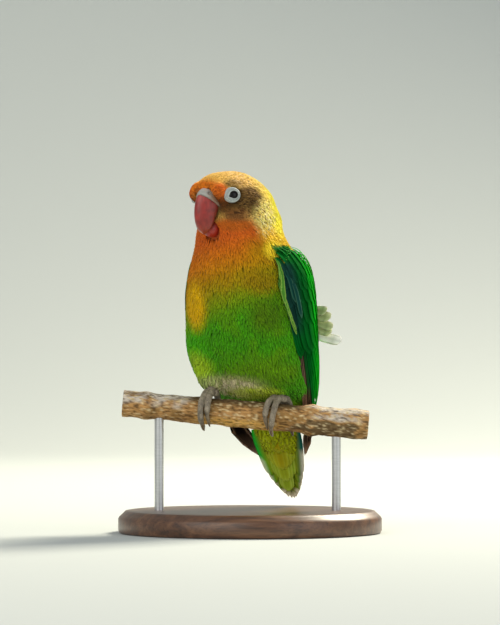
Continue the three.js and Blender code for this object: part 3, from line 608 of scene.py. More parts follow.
# The skin under the coat, in one piece.
skinSettings = {"sides": 72, "cuts": 110, "voxel": 0.8, "smoothing": 5, "shade": 0.7}
thighRadii = [4.5, 7.2, 8.5, 8.3, 7.3, 5.4, 2.9]
flesh = [sleeve("skin", skinSettings["sides"], skinSettings["cuts"], skinPlace)]
flesh.append(sleeve("tail_flesh", 24, 20, tailPlace))
for leg in feet:
    knee = mix(np.array(leg["hip"], float), leg["ankle"], 0.5) + np.array([0, -1.5, 0])
    flesh.append(sleeve("thigh", 24, 24, tubePlace([leg["hip"], knee, leg["ankle"]], thighRadii, (1, 0, 0))))
for side in (1, -1):
    flesh.append(sleeve("arm", 28, 40, armPlace(side)))
skin = joined(flesh, "skin")
applyModifier(skin, "REMESH", mode="VOXEL", voxel_size=skinSettings["voxel"])
applyModifier(skin, "SMOOTH", factor=0.5, iterations=skinSettings["smoothing"])
bpy.ops.object.shade_smooth()
skinTree = BVHTree.FromObject(skin, bpy.context.evaluated_depsgraph_get())
print("skin done:", len(skin.data.polygons), "faces")


def tint(piece, colours):  # a colour at every point of a piece, read by its material
    layer = piece.data.color_attributes.new("Marking", "FLOAT_COLOR", "POINT")
    full = np.ones((len(colours), 4), np.float32)
    full[:, :3] = colours
    layer.data.foreach_set("color", full.ravel())


def tinted(piece, colourAt):  # colours a piece by its points, while they are still in its own frame
    tint(piece, colourAt(vertices(piece)))


tinted(skin, lambda points: markings(points) * skinSettings["shade"])
# Bird skin, matt and hidden under the coat; it only darkens what shows between the feathers.
skinMaterial = surface("Down covered skin", {"Roughness": 0.9}, [
    ("Noise", {"Scale": 900.0, "Detail": 3.0}, None, [(0.3, (0.6, 0.6, 0.6)), (0.7, (1, 1, 1))]),
])
settle(skin, birdFrame)
finished(skin, skinMaterial, "body_plumage", "torso", "neck", "head", "thigh_left", "thigh_right")


# The bill and the cere, in the head's frame.
billRows = curved([  # ridge y and z, roof y and z, half width
    [-14.5, 152.2, -9.6, 147, 4.4],
    [-18.7, 149.9, -10.2, 143.4, 4.8],
    [-21.2, 146, -10.9, 140.6, 4.8],
    [-22.1, 141.3, -12, 138.8, 4.6],
    [-21.6, 136.6, -13.3, 136.4, 4.2],
    [-19.9, 133, -14.8, 133.6, 3.2],
    [-17.4, 130.9, -16.2, 131.2, 0.7],
])
keel = 0.3  # how much narrower the bill is at its ridge than at its roof


def seam(up):  # where the cere ends and the horn starts along the bill: lower on its sides
    return 1.4 + 0.1 * (1 - up)


def billPlace(start, end, grow, swell=None):  # start and end follow up: 1 at the ridge, -1 at the roof
    def place(share, angle):
        up = np.cos(angle)
        ridgeY, ridgeZ, roofY, roofZ, half = along(billRows, mix(start(up), end(up), share))
        reach = np.hypot(ridgeY - roofY, ridgeZ - roofZ)
        long = reach / 2 + grow
        y = (ridgeY + roofY) / 2 + (ridgeY - roofY) / reach * long * up
        z = (ridgeZ + roofZ) / 2 + (ridgeZ - roofZ) / reach * long * up
        points = np.stack([(half + grow) * np.sin(angle) * (1 - keel * up), y, z], -1)
        return points if swell is None else swell(points)

    return place


nostril = {"centre": (3.6, -17.6, 148.9), "rim": 1.5, "height": 0.45, "hole": 0.62, "depth": 1.3}


def fromNostril(points):
    return np.linalg.norm(np.stack([np.abs(points[:, 0]), *points[:, 1:].T], -1) - nostril["centre"], axis=1)


def nostrilSwell(points):
    away = fromNostril(points)
    rise = nostril["height"] * np.exp(-((away / nostril["rim"]) ** 2))
    pit = nostril["depth"] * np.exp(-((away / nostril["hole"]) ** 4))
    dimple = 0.12 * np.exp(-((points[:, 0] / 0.7) ** 2)) * ease(points[:, 2], 146, 149)
    return points + unit(points - np.array([0, -13.5, 148])) * (rise - pit - dimple)[:, None]


def hornColours(points):  # red on the ridge under a painted purplish highlight, deep red on the sides, dark at the cutting edge as painted shade
    z = points[:, 2]
    rows = billRows[1][::-1]
    ridgeY, roofY = np.interp(z, rows[:, 1], rows[:, 0]), np.interp(z, rows[:, 3], rows[:, 2])
    up = (points[:, 1] - (ridgeY + roofY) / 2) / ((ridgeY - roofY) / 2)
    mottle = grain(points, 1.6)
    colour = painted("#8c2618", [
        ("#9c2a22", ease(up, 0.0, 0.75) * ease(z, 133, 140)),
        # Painted highlight: purplish pink high on the ridge.
        ("#b84c46", ease(up, 0.1, 0.8) * ease(z, 143.5, 147.5) * 0.8),
        # Painted shade: dark towards the cutting edge, over the gap between the mandibles.
        ("#5c2e1a", ease(-up, 0.1, 0.7) * 0.85),
        ("#a8482a", (1 - ease(z, 131, 135.5)) * 0.8),
        ("#c98a68", (1 - ease(z, 130.8, 133)) * ease(mottle, 0.05, 0.3) * 0.8),
    ])
    return colour * (0.84 * (1 + 0.35 * mottle))[:, None]


def cereColours(points):  # bluish white, brown at the gape, grey round the nostrils, and dark in them as painted shade
    return painted("#a9aaa2", [
        ("#9a7358", near(np.abs(points), (5.6, 14.5, 145.5), (2.4, 4, 4), 0.7) * 0.85),
        ("#d3cfca", ease(points[:, 2], 149, 151.5) * 0.6),
        ("#8d7f7a", np.exp(-((fromNostril(points) / 1.0) ** 2)) * 0.6),
        # Painted shade: dark in the nostril pits.
        ("#1c1412", np.exp(-((fromNostril(points) / 0.66) ** 4))),
    ])


upperBill = sleeve("upper_bill_horn", 48, 60, billPlace(lambda up: seam(up) + 0.05, lambda up: 6 + 0 * up, 0))
applyModifier(upperBill, "SUBSURF", levels=1, render_levels=1)
tinted(upperBill, hornColours)
cere = sleeve("cere_skin", 128, 48, billPlace(lambda up: 0.1 + 0 * up, seam, 0.35, nostrilSwell))
tinted(cere, cereColours)

scoop = curved([
    [-8.5, 137.6, 129.8, 2.8], [-11.5, 137.4, 129.6, 3.3], [-13.6, 136.6, 129.8, 3.3],
    [-15, 135.2, 130.5, 2.8], [-16, 133.6, 131.7, 1.8],
])


def scoopPlace(share, angle):
    y, top, bottom, half = along(scoop, share * 4)
    return np.stack([half * np.sin(angle), y, (top + bottom) / 2 + (top - bottom) / 2 * np.cos(angle)], -1)


lowerBill = sleeve("lower_bill_horn", 40, 24, scoopPlace)
applyModifier(lowerBill, "SUBSURF", levels=1, render_levels=1)
# The lower bill's red, with painted shade: darker towards its top, where it lies under the upper bill.
tinted(lowerBill, lambda points: linear("#96200c") * (0.6 + 0.45 * ease(-points[:, 2], -136, -133))[:, None])
for piece in (upperBill, cere, lowerBill):
    settle(piece, headFrame)


def treeOf(*pieces):  # what is nearest on settled pieces, in the bird's frame
    points, faces = [], []
    for piece in pieces:
        first = len(points)
        points += [birdFrame.inverted() @ vertex.co for vertex in piece.data.vertices]
        faces += [[first + i for i in face.vertices] for face in piece.data.polygons]
    return BVHTree.FromPolygons(points, faces)


billTree = treeOf(upperBill, cere, lowerBill)

# Bill horn: a thin glossy keratin sheath, red, with fine growth lines and a milky bloom.
hornRed = surface("Bill horn, red", {
    "Roughness": 0.42, "IOR": 1.5, "Subsurface Weight": 0.06, "Subsurface Radius": (0.002, 0.0008, 0.0006),
    "Coat Weight": 0.1, "Coat Roughness": 0.3,
}, [
    ("Noise", {"Scale": 1100.0, "Detail": 4.0, "Roughness": 0.6}, (1.0, 1.0, 0.25),
     [(0.3, (0.78, 0.78, 0.8)), (0.72, (1.15, 1.12, 1.12))]),
], bump=(0.3, 0.00015))
finished(upperBill, hornRed, "bill_horn", "upper_bill")
finished(lowerBill, hornRed, "bill_horn", "lower_bill")

# Bare skin of the cere and the eye rings: matt, faintly waxy, bluish white, with fine pores.
bareSkin = surface("Bare skin, bluish white", {
    "Roughness": 0.55, "IOR": 1.45, "Subsurface Weight": 0.1, "Subsurface Radius": (0.0012, 0.0008, 0.0006),
}, [
    ("Noise", {"Scale": 1600.0, "Detail": 4.0, "Roughness": 0.6}, None,
     [(0.3, (0.78, 0.8, 0.82)), (0.75, (1.1, 1.08, 1.06))]),
], bump=(0.4, 0.0001))
finished(cere, bareSkin, "bare_skin", "cere")

# The eyes and the bare rings round them.
eye = {
    "centre": (11.7, -11.5, 148.1), "turn": 63, "radius": 2.4, "thick": 1.5, "sunk": -1.2, "corner": 0.26,
    "behind": 0.6, "low": 0.87,
}
ringProfile = [
    [2.75, -2.6], [3.7, -2.6], [3.86, -1.4], [3.84, -0.5], [3.62, -0.02], [3.36, 0.2], [3.14, 0.22],
    [3.0, 0.08], [2.84, 0.28], [2.62, 0.34], [2.48, 0.2], [2.36, 0.42], [2.16, 0.58], [1.92, 0.58],
    [1.74, 0.42], [1.66, 0.2], [1.9, -0.1], [2.4, -0.5], [2.75, -0.9], [2.75, -2.6],
]


def eyeFrame(side):
    turn = math.radians(eye["turn"])
    out = Vector((side * math.sin(turn), -math.cos(turn), 0.1)).normalized()
    up = (Vector((0, 0, 1)) - out * out.z).normalized()
    front = up.cross(out) * -side
    basis = Matrix((front, up, out)).transposed().to_4x4()
    return Matrix.Translation((side * eye["centre"][0], *eye["centre"][1:])) @ basis


def ringPlace(share, angle):  # local x is towards the bill, y up, z outwards
    radius, height = along(ringCurve, share * (len(ringProfile) - 1))
    lid = 1 - ease(radius, 2.1, 3.0)
    corner = np.exp(-(((angle - math.radians(155) + math.pi) % (2 * math.pi) - math.pi) / 0.36) ** 2)
    radius = radius * (1 + lid * (eye["corner"] * corner + 0.06 + 0.055 * np.cos(2 * angle)))
    height = height - 0.1 * lid * corner
    behind = eye["behind"] * (1 - ease(radius, 2.0, 3.4))
    return np.stack([-radius * np.cos(angle) - behind, -radius * np.sin(angle) * eye["low"], height], -1)


def ringColours(points):  # grey lines painted as shade in the folds round the lids, and a dark wet rim at the eye
    radius = np.hypot(points[:, 0] + 0.3, points[:, 1] / eye["low"])
    inner = np.hypot((points[:, 0] + eye["behind"]) / 1.1, points[:, 1])
    # Painted shade: grey lines in the grooves of the lid folds and at the ring's outer edge.
    folds = ((3.0, 0.13, 0.5), (2.46, 0.12, 0.5), (3.75, 0.2, 0.4))  # radius, width, strength
    lines = [("#6f7678", np.exp(-(((radius - at) / width) ** 2)) * share) for at, width, share in folds]
    return painted("#b3bab6", lines + [("#2e2a28", 1 - ease(inner, 1.58, 1.86))])


ringCurve = curved(ringProfile, 4)
for side, name in ((1, "left"), (-1, "right")):
    ring = sleeve(f"eye_ring_skin_{name}", 96, 92, ringPlace, ring=True)
    tinted(ring, ringColours)
    deselect()
    bpy.ops.mesh.primitive_uv_sphere_add(segments=48, ring_count=32, radius=eye["radius"])
    ball = bpy.context.object
    ball.name = ball.data.name = f"eyeball_{name}"
    bpy.ops.object.mode_set(mode="EDIT")
    bpy.ops.mesh.select_all(action="SELECT")
    bpy.ops.transform.resize(value=(1, 1, eye["thick"] / eye["radius"]))
    bpy.ops.transform.translate(value=(-eye["behind"], 0, eye["sunk"]))
    bpy.ops.object.mode_set(mode="OBJECT")
    bpy.ops.object.shade_smooth()
    for piece in (ring, ball):
        settle(piece, headFrame @ eyeFrame(side))
        if side < 0:  # this eye's frame is left-handed, so its faces are turned back out
            turnFaces()
    # Wet cornea over a near-black iris: a mirror-like coat gives one small clear highlight.
    wetEye = surface(f"Cornea over dark iris, {name}", {
        "Roughness": 0.3, "Specular IOR Level": 0.1, "Coat Weight": 0.55, "Coat Roughness": 0.02,
        "Coat IOR": 1.376,
    }, marked=False)
    tree = wetEye.node_tree
    middle = headFrame @ eyeFrame(side) @ Vector((-eye["behind"], 0, 0.3))
    where = addNode(tree, "ShaderNodeTexCoord").outputs["Object"]
    fromPupil = addNode(tree, "ShaderNodeVectorMath", {"operation": "DISTANCE", 1: tuple(middle)}, {0: where})
    iris = ramp(
        tree, fromPupil.outputs["Value"],
        [(0.0, "#050505"), (0.00085, "#060505"), (0.00105, "#24130a"), (0.0017, "#160c07")],
    )
    tree.links.new(iris.outputs["Color"], tree.nodes["Principled BSDF"].inputs["Base Color"])
    finished(ring, bareSkin, "bare_skin", f"eye_ring_{name}")
    finished(ball, wetEye, "eye", f"eye_{name}")
print("head done")


# Feathers: vanes as thin closed shapes, joined into pieces from arrays.
patchSize = 0.003  # how wide a feather's own patch is on the unwrap that the colours are baked to


def featherMesh(name, rings, tips, colours, roots, vane):
    # rings (feather, section, point round it, 3), tips (feather, 3), colours (feather, section, point, 3) and
    # the tips' own; roots (feather, 2) places on the skin's unwrap; vane (feather, section, point, 2) in
    # centimetres across and along the feather, and the tips' own.
    count, sections, around, _ = rings.shape
    perFeather = sections * around + 1
    last = (sections - 1) * around
    pattern = []
    for s in range(sections - 1):
        for m in range(around):
            n = (m + 1) % around
            pattern += [s * around + m, s * around + n, (s + 1) * around + n, (s + 1) * around + m]
    for m in range(around):
        pattern += [last + m, last + (m + 1) % around, perFeather - 1]
    pattern = np.array(pattern + list(range(around))[::-1])
    sizes = np.array([4] * last + [3] * around + [around])
    faceSizes = np.tile(sizes, count)
    loops = (pattern[None] + (np.arange(count) * perFeather)[:, None]).ravel()

    def withTips(body, ends):
        return np.concatenate([body.reshape(count, perFeather - 1, -1), ends[:, None]], 1)

    points, tints, middle = withTips(rings, tips), withTips(*colours), withTips(*vane)
    mesh = bpy.data.meshes.new(name)
    mesh.vertices.add(count * perFeather)
    mesh.vertices.foreach_set("co", points.astype(np.float32).ravel())
    mesh.loops.add(len(loops))
    mesh.loops.foreach_set("vertex_index", loops.astype(np.int32))
    mesh.polygons.add(len(faceSizes))
    mesh.polygons.foreach_set("loop_start", np.concatenate([[0], np.cumsum(faceSizes)[:-1]]).astype(np.int32))
    mesh.update(calc_edges=True)
    low = middle.min(axis=1, keepdims=True)
    patch = (middle - low) / np.maximum(middle.max(axis=1, keepdims=True) - low, 1e-6)
    bake = roots[:, None] + patchSize * (patch - 0.5)
    for layerName, values in (("OFBake", bake), ("Vane", middle)):
        layer = mesh.uv_layers.new(name=layerName)
        layer.data.foreach_set("uv", values.reshape(-1, 2)[loops].astype(np.float32).ravel())
    piece = bpy.data.objects.new(name, mesh)
    bpy.context.scene.collection.objects.link(piece)
    tint(piece, tints.reshape(-1, 3))
    activate(piece)
    bpy.ops.object.shade_smooth()
    return piece


def unwrapped(points, lowZ, highZ):  # the unwrap of the skin's own shape: round the body, and up it
    across = sideAngle(points[:, 2], points) / 360 + 0.5
    upward = (points[:, 2] - lowZ) / (highZ - lowZ)
    return np.stack([mix(0.01, 0.99, across), mix(0.01, 0.99, np.clip(upward, 0, 1))], -1)


billBase = placed(np.array([[0, -15.5, 144.5]]), headInBird)[0]


def lie(points):  # the way the feathers point: from the bill back over the head, then down to the tail
    z = points[:, 2]
    head = placed(points, birdToHead)
    fromBill = unit(points - billBase)
    fromBill[:, 2] -= 0.25 + 0.9 * ease(head[:, 1], -4, 12)
    down = np.zeros_like(points)
    down[:, 0] = 0.012 * points[:, 0]
    down[:, 1] = mix(0.12, 0.75, 1 - ease(z, 56, 78))
    down[:, 2] = -1
    return unit(mix(unit(down), fromBill, ease(z, 122, 136)[:, None]))


def onSkin(points):  # the nearest points of the skin, and its normals there
    spots = np.empty_like(points)
    normals = np.empty_like(points)
    for i, p in enumerate(points):
        spot, normal, _, _ = skinTree.find_nearest(Vector(p))
        spots[i] = spot
        normals[i] = normal
    return spots, normals


vaneShares = np.array([0, 0.3, 0.62, 0.88, 1])
coatKinds = {  # length, half width, rise over the skin, how much the tip stands off
    "face": (1.9, 0.27, 0.95, 0.05),
    "lore": (1.5, 0.24, 0.8, 0.06),
    "crown": (2.6, 0.34, 1.15, 0.07),
    "nape": (3.4, 0.42, 1.35, 0.14),
    "throat": (3.3, 0.4, 1.5, 0.08),
    "breast": (4.3, 0.46, 2.0, 0.06),
    "belly": (5.0, 0.5, 2.1, 0.12),
    "back": (6.0, 1.2, 2.0, 0.06),
    "rump": (5.4, 0.8, 2.0, 0.1),
    "vent": (7.4, 1.1, 1.8, 0.02),
}


def coatAt(points):  # the feathers' size at each root, blended from one part of the body to the next
    z = points[:, 2]
    hy = placed(points, birdToHead)[:, 1]
    rear = ease(np.abs(sideAngle(z, points)), 95, 125)
    fore = 1 - rear
    size = np.array(coatKinds["belly"])
    for kind, share in (
        ("breast", ease(z, 88, 104) * fore),
        ("back", rear * ease(z, 76, 90)),
        ("rump", rear * (1 - ease(z, 76, 90))),
        ("vent", fore * (1 - ease(z, 54, 62))),
        ("throat", ease(z, 118, 128) * fore),
        ("nape", ease(z, 120, 132) * rear),
        ("crown", ease(z, 134, 142)),
        ("face", ease(z, 131, 136) * (1 - ease(hy, -8, 0))),
        ("lore", ease(z, 142, 146) * (1 - ease(z, 152, 155)) * (1 - ease(hy, -15, -11))),
    ):
        size = mix(size, np.array(coatKinds[kind]), share[:, None])
    return size


def ringSpot(points):  # distance from the nearer eye's middle
    return np.linalg.norm(onHead(points) - eye["centre"], axis=1)


# The edge of the forehead's feathers over the cere: heights at distances from the middle.
browLine = ([0, 1.5, 3.2, 4.6, 5.3, 5.7], [150.0, 150.4, 150.9, 150.2, 147.4, 143.6])
wingCover = {"low": 64, "high": 126.5, "back": 3, "inside": 2, "tuckFrom": 112, "tuckTo": 123.5, "tuck": 0.5}
coat = {"ringRadius": 4.1, "coverage": 4.4, "scatter": 0.42}  # coverage: how many feathers lie over one spot


def underWing(points, inside):  # where a folded wing lies over the body
    z = points[:, 2]
    angle = sideAngle(z, points)
    armZ, armFront, armBack = armRows[1][np.argsort(armRows[1][:, 0])].T
    front, back = np.interp(z, armZ, armFront) + inside, np.interp(z, armZ, armBack) - wingCover["back"]
    under = np.zeros(len(points), bool)
    for side in (1, -1):
        turned = angle * side - wingBack(z, side)
        under |= (turned > front) & (turned < back) & (z > wingCover["low"]) & (z < wingCover["high"])
    return under


def covered(points):  # where no feather grows: under the wings, under the bill and cere, in the eye rings
    hx, hy, z = onHead(points).T
    bare = (ringSpot(points) < coat["ringRadius"]) | underWing(points, wingCover["inside"])
    bare |= (hy < -11) & (z > 143.5) & (hx < browLine[0][-1]) & (z < np.interp(hx, *browLine))
    for i in np.flatnonzero((hy < -6) & (z > 128) & (z < 146)):
        spot, normal, _, distance = billTree.find_nearest(Vector(points[i]))
        bare[i] |= distance < 0.3 or normal.dot(Vector(points[i]) - spot) < 0
    return bare


def rootsOnSkin():  # the small feathers' roots, spread over the skin's faces
    number = len(skin.data.polygons)
    centre, area = np.zeros(number * 3), np.zeros(number)
    skin.data.polygons.foreach_get("center", centre)
    skin.data.polygons.foreach_get("area", area)
    centre = placed(centre.reshape(-1, 3), birdFrame.inverted())
    size = coatAt(centre)
    running = np.cumsum(coat["coverage"] / (size[:, 0] * size[:, 1]) * (area / millimetre**2)) + 0.37
    count = np.diff(np.concatenate([[0], np.floor(running).astype(int)]))
    count[covered(centre)] = 0
    which = np.repeat(np.arange(number), count)
    scatter = draw.uniform(-coat["scatter"], coat["scatter"], (len(which), 3))
    return onSkin(centre[which] + scatter)[0]


def tucked(points):  # whether feathers that reach these points lie over the top of a wing
    return underWing(points, wingCover["tuck"])


def coatRings(roots, size):  # the sections of the small feathers, laid over the skin from their roots
    count = len(roots)
    length = size[:, 0] * draw.uniform(0.84, 1.16, count)
    half = size[:, 1] * draw.uniform(0.85, 1.15, count)
    rise = size[:, 2] * draw.uniform(0.88, 1.06, count)
    stand = size[:, 3] * draw.uniform(0.2, 1.8, count)
    veer = draw.normal(0, 0.11, count)
    for reach in (1.0, 0.7, 0.5):  # a feather that would run over a wing is shorter
        over = tucked(roots + unit(lie(roots)) * (length * reach)[:, None])
        length = np.where(over & (roots[:, 2] > wingCover["tuckFrom"]), length * 0.72, length)
    spot, normal = roots, onSkin(roots)[1]
    centres, normals, ways = [], [], []
    for k, share in enumerate(vaneShares):
        way = lie(spot)
        way = unit(way - normal * (way * normal).sum(1)[:, None])
        way = unit(way + np.cross(normal, way) * veer[:, None])
        centres.append(spot)
        normals.append(normal)
        ways.append(way)
        if k + 1 < len(vaneShares):
            step = (vaneShares[k + 1] - share) * length
            spot, normal = onSkin(spot + way * step[:, None])
    centres, normals, ways = (np.stack(item, 1) for item in (centres, normals, ways))
    climb = np.array([-0.2, 0.66, 0.88, 0.97, 1.0])
    height = rise[:, None] * climb[None] + stand[:, None] * vaneShares[None] ** 3
    centres = centres + normals * height[:, :, None]
    widths = half[:, None] * np.array([0.45, 0.95, 1, 0.66, 0])[None]
    side = np.cross(ways, normals) * widths[:, :, None]
    droop = normals * (0.03 * widths)[:, :, None]
    ridge = normals * 0.02
    rings = np.stack([centres - side - droop, centres + ridge, centres + side - droop], 2)
    across = np.stack([-widths, 0 * widths, widths], 2) / 10
    onward = np.repeat((vaneShares[None] * length[:, None])[:, :, None], 3, 2) / 10
    vane = np.stack([across, onward], -1)
    return rings[:, :-1], centres[:, -1], (vane[:, :-1], vane[:, -1, 1])


def coatColours(roots, middles):
    count = len(roots)
    spot = onHead(roots)
    z = roots[:, 2]
    chance = draw.uniform(0, 1, count)
    bright = np.clip(draw.normal(1, 1, count), -1, 3)
    base = markings(middles) * (1 + (bright - 1) * mix(0.07, 0.15, ease(z, 134, 142)))[:, None]
    crown = ease(z, 150, 154) * ease(spot[:, 1], -14, -6)
    ear = near(spot, (16, 5, 140), (5, 7, 7.5), 0.5)
    mask = near(spot, (14, -4, 145), (5, 9, 7), 0.4)
    base = painted(base, [  # fringes: pinkish straw on the crown, cream at the ear, pale and dark in the mask
        ("#f2d09c", (chance < 0.25) * crown * 0.6),
        ("#a8722c", (chance > 0.8) * crown * 0.5),
        ("#f8e7a4", (chance < 0.36) * ear * 0.9),
        ("#6a4a20", (chance > 0.9) * ear * 0.7),
        ("#a88048", (chance < 0.1) * mask * 0.6),
        ("#2c1c0e", (chance > 0.86) * mask * 0.7),
    ])
    # Each feather darker towards its root, where the feathers above lie over it: painted shade.
    fade = np.array([0.82, 0.92, 1.0, 1.03])[None, :, None, None]
    across = np.array([0.98, 1.02, 0.98])[None, None, :, None]
    colours = base[:, None, None] * fade * across
    return np.clip(colours, 0, 0.95), np.clip(base * 1.05, 0, 0.95)


def featherMaterial(name, roughness, sheen, specular, slant, barbs, patches, bump):
    # Keratin barbs: matt, with a faint velvet edge, and fine lines that run out from the shaft.
    def barbLines(tree):
        vane = addNode(tree, "ShaderNodeUVMap", {"uv_map": "Vane"})
        split = addNode(tree, "ShaderNodeSeparateXYZ", {}, {"Vector": vane.outputs["UV"]})
        aside = addNode(tree, "ShaderNodeMath", {"operation": "ABSOLUTE"}, {0: split.outputs["X"]})
        slanted = addNode(
            tree, "ShaderNodeMath", {"operation": "MULTIPLY_ADD", 1: -slant},
            {0: aside.outputs[0], 2: split.outputs["Y"]},
        )
        return addNode(tree, "ShaderNodeCombineXYZ", {}, {"X": slanted.outputs[0]}).outputs[0]

    return surface(name, {
        "Roughness": roughness, "Sheen Weight": sheen, "Sheen Roughness": 0.45,
        "Sheen Tint": colourOf("#fff6d8"), "IOR": 1.54, "Specular IOR Level": specular,
    }, [
        ("Noise", {"Scale": patches, "Detail": 4.0, "Roughness": 0.6}, None,
         [(0.25, (0.84, 0.84, 0.84)), (0.75, (1.14, 1.14, 1.14))]),
        ("Wave", {"Scale": barbs, "Distortion": 1.5, "Detail": 1.0, "Detail Scale": 2.0}, barbLines,
         [(0.2, (0.88, 0.88, 0.88)), (0.8, (1.06, 1.06, 1.06))]),
    ], bump=(bump, 0.00008))


# Small body feathers: soft and silky. Their barbs are about 0.1 mm apart, drawn at 0.4 mm so that they show.
contourFeather = featherMaterial(
    "Contour feathers, soft",
    roughness=0.8, sheen=0.04, specular=0.06, slant=0.7, barbs=7.0, patches=260.0, bump=0.15,
)
# Wing and tail feathers: sleeker, with a satin gloss along the closed vane.
vaneFeather = featherMaterial(
    "Flight feathers, satin",
    roughness=0.7, sheen=0.0, specular=0.01, slant=0.9, barbs=5.0, patches=160.0, bump=0.3,
)

roots = rootsOnSkin()
roots = roots[~covered(roots)]
rings, tips, vane = coatRings(roots, coatAt(roots))
kept = ~(tucked(tips) & (tips[:, 2] > wingCover["tuckFrom"]) & (tips[:, 2] < wingCover["tuckTo"]))
roots, rings, tips, vane = roots[kept], rings[kept], tips[kept], (vane[0][kept], vane[1][kept])
colours = coatColours(roots, rings[:, 2, 1])
print("coat laid:", len(roots), "feathers")

rootHead = placed(roots, birdToHead)
rootAngle = sideAngle(roots[:, 2], roots)
rootZ = roots[:, 2]
rootFront = np.abs(rootAngle) < 100
coatParts = [  # name, slot, which roots, heights that the unwrap spans
    ("face", "head_plumage", (rootZ > 143) & (rootHead[:, 1] < -5), (141, 160)),
    ("cheek", "head_plumage", (rootZ > 130) & (rootZ <= 143) & (rootHead[:, 1] < -5), (128, 145)),
    ("crown", "head_plumage", (rootZ > 143) & (rootHead[:, 1] >= -5), (141, 160)),
    ("nape", "head_plumage", (rootZ > 130) & (rootZ <= 143) & (rootHead[:, 1] >= -5), (128, 145)),
    ("neck", "neck_plumage", (rootZ <= 130) & (rootZ > 117), (115, 132)),
    ("breast", "body_plumage", (rootZ <= 117) & (rootZ > 90) & rootFront, (88, 119)),
    ("belly", "body_plumage", (rootZ <= 90) & (rootZ > 66) & rootFront, (64, 92)),
    ("vent", "body_plumage", (rootZ <= 66) & rootFront, (20, 68)),
    ("back", "body_plumage", (rootZ <= 117) & ~rootFront, (20, 119)),
]
for partName, slotName, part, (lowZ, highZ) in coatParts:
    for sideName, chosen in (("left", part & (rootAngle > 0)), ("right", part & (rootAngle <= 0))):
        piece = featherMesh(
            f"{partName}_feathers_{sideName}", rings[chosen], tips[chosen],
            [tone[chosen] for tone in colours], unwrapped(roots[chosen], lowZ, highZ),
            [place[chosen] for place in vane],
        )
        settle(piece, birdFrame)
        finished(piece, contourFeather, slotName)
        print(piece.name, int(chosen.sum()), "feathers")


# The wings.
longVane = [0.5, 0.8, 0.94, 0.98, 0.98, 0.96, 0.92, 0.82, 0.6, 0.3]
shortVane = [0.55, 0.75, 0.9, 0.98, 1, 1, 0.95, 0.82, 0.6, 0.32]
vaneSteps = np.array([0, 0.12, 0.26, 0.4, 0.54, 0.68, 0.8, 0.9, 0.96, 0.99])
# Round a vane: over its face, then behind it.
ringAcross = np.array([-1, -0.8, -0.4, 0, 0.4, 0.8, 1, 0.6, 0, -0.6])
ringBehind = np.array([0, 0, 0, 0, 0, 0, 0, 1, 1, 1.0])


def vaneRings(place, turn, half, widths, length, tilt, camber):
    # place(share, aside, lift) is a point by the surface that the feather lies over, and turn is 1 or -1.
    q = turn * ringAcross
    t = vaneSteps[:, None] - 0.035 * (q**2)[None] * vaneSteps[:, None] ** 4
    aside = q[None] * half * np.array(widths)[:, None]
    thick = 0.12 + 0.14 * (1 - np.abs(q[None])) * (1 - t)
    lift = -tilt(t) * aside - camber * np.abs(aside) * np.abs(q[None]) - ringBehind[None] * thick
    tip = place(np.array([1.0]), np.array([0.0]), np.array([0.0]))[0]
    vane = np.stack([aside, t * length], -1) / 10
    return {"rings": place(t, aside, lift), "tip": tip, "vane": vane, "q": q, "t": t}


def shaded(feather, centre, edge, shaft=0.3, rimFrom=0.45):  # a feather's colours, from its shaft to its rim
    rim = ease(np.abs(feather["q"]), rimFrom, 1)[None] * ease(feather["t"], 0.05, 0.5)
    rim = np.maximum(rim, ease(feather["t"], 0.86, 1))
    colours = mix(centre, edge, rim[..., None]) * draw.normal(1, 0.05)
    feather["colours"] = colours * (1 - shaft * (np.abs(feather["q"]) < 0.1)[None, :, None] * 0.5)
    feather["tipColour"] = feather["colours"][-1, 3]
    return feather


def vanePiece(name, feathers, lowZ, highZ, slotName, *nodes):  # one mesh from a list of feathers
    stacked = {key: np.stack([feather[key] for feather in feathers]) for key in ("rings", "tip", "vane")}
    colours = (np.stack([f["colours"] for f in feathers]), np.stack([f["tipColour"] for f in feathers]))
    vane = stacked["vane"]
    piece = featherMesh(
        name, stacked["rings"], stacked["tip"], colours, unwrapped(stacked["rings"][:, 0, 2], lowZ, highZ),
        (vane, vane[:, -1, 3] + np.array([0, 0.02])),
    )
    settle(piece, birdFrame)
    finished(piece, vaneFeather, slotName, *nodes)
    print(name, len(feathers), "feathers")


# How the primaries bend and bunch, and how much longer and wider the right wing's are.
quill = {"bend": 3, "bunched": 1.7, "longer": 2.5, "wider": 1.3}
# Kind, how many, first and last root, first and last tip (height and angle), half width, lifts, outline.
wingTiers = [
    ("primary", 10, (93, 76), (95, 92), (32.5, 100), (54, 124), 2.4, (-1.0, 0.8), longVane),
    ("secondary", 9, (95, 90), (98, 127), (53, 116), (66, 143), 3.3, (0.9, 1.6), longVane),
    ("covert", 6, (102, 67), (103, 80), (77, 74), (83, 86), 2.2, (0.3, 1.0), shortVane),
    ("covert", 9, (101, 77), (104, 134), (79, 84), (86, 139), 3.4, (1.1, 2.0), shortVane),
    ("covert", 9, (107, 67), (110, 130), (90, 72), (95, 137), 3.2, (1.2, 2.4), shortVane),
    ("covert", 10, (112, 64), (115, 130), (99, 66), (103, 136), 2.8, (1.4, 2.6), shortVane),
    ("alula", 2, (117, 66), (115, 70), (101, 71), (95, 76), 1.4, (2.2, 2.5), longVane),
    ("marginal", 9, (121, 65), (110, 56.5), (112, 58), (101, 60), 0.9, (1.8, 2.1), shortVane),
    ("marginal", 8, (110, 56.5), (97, 63), (101, 60), (87, 71), 0.7, (2.1, 1.5), shortVane),
]
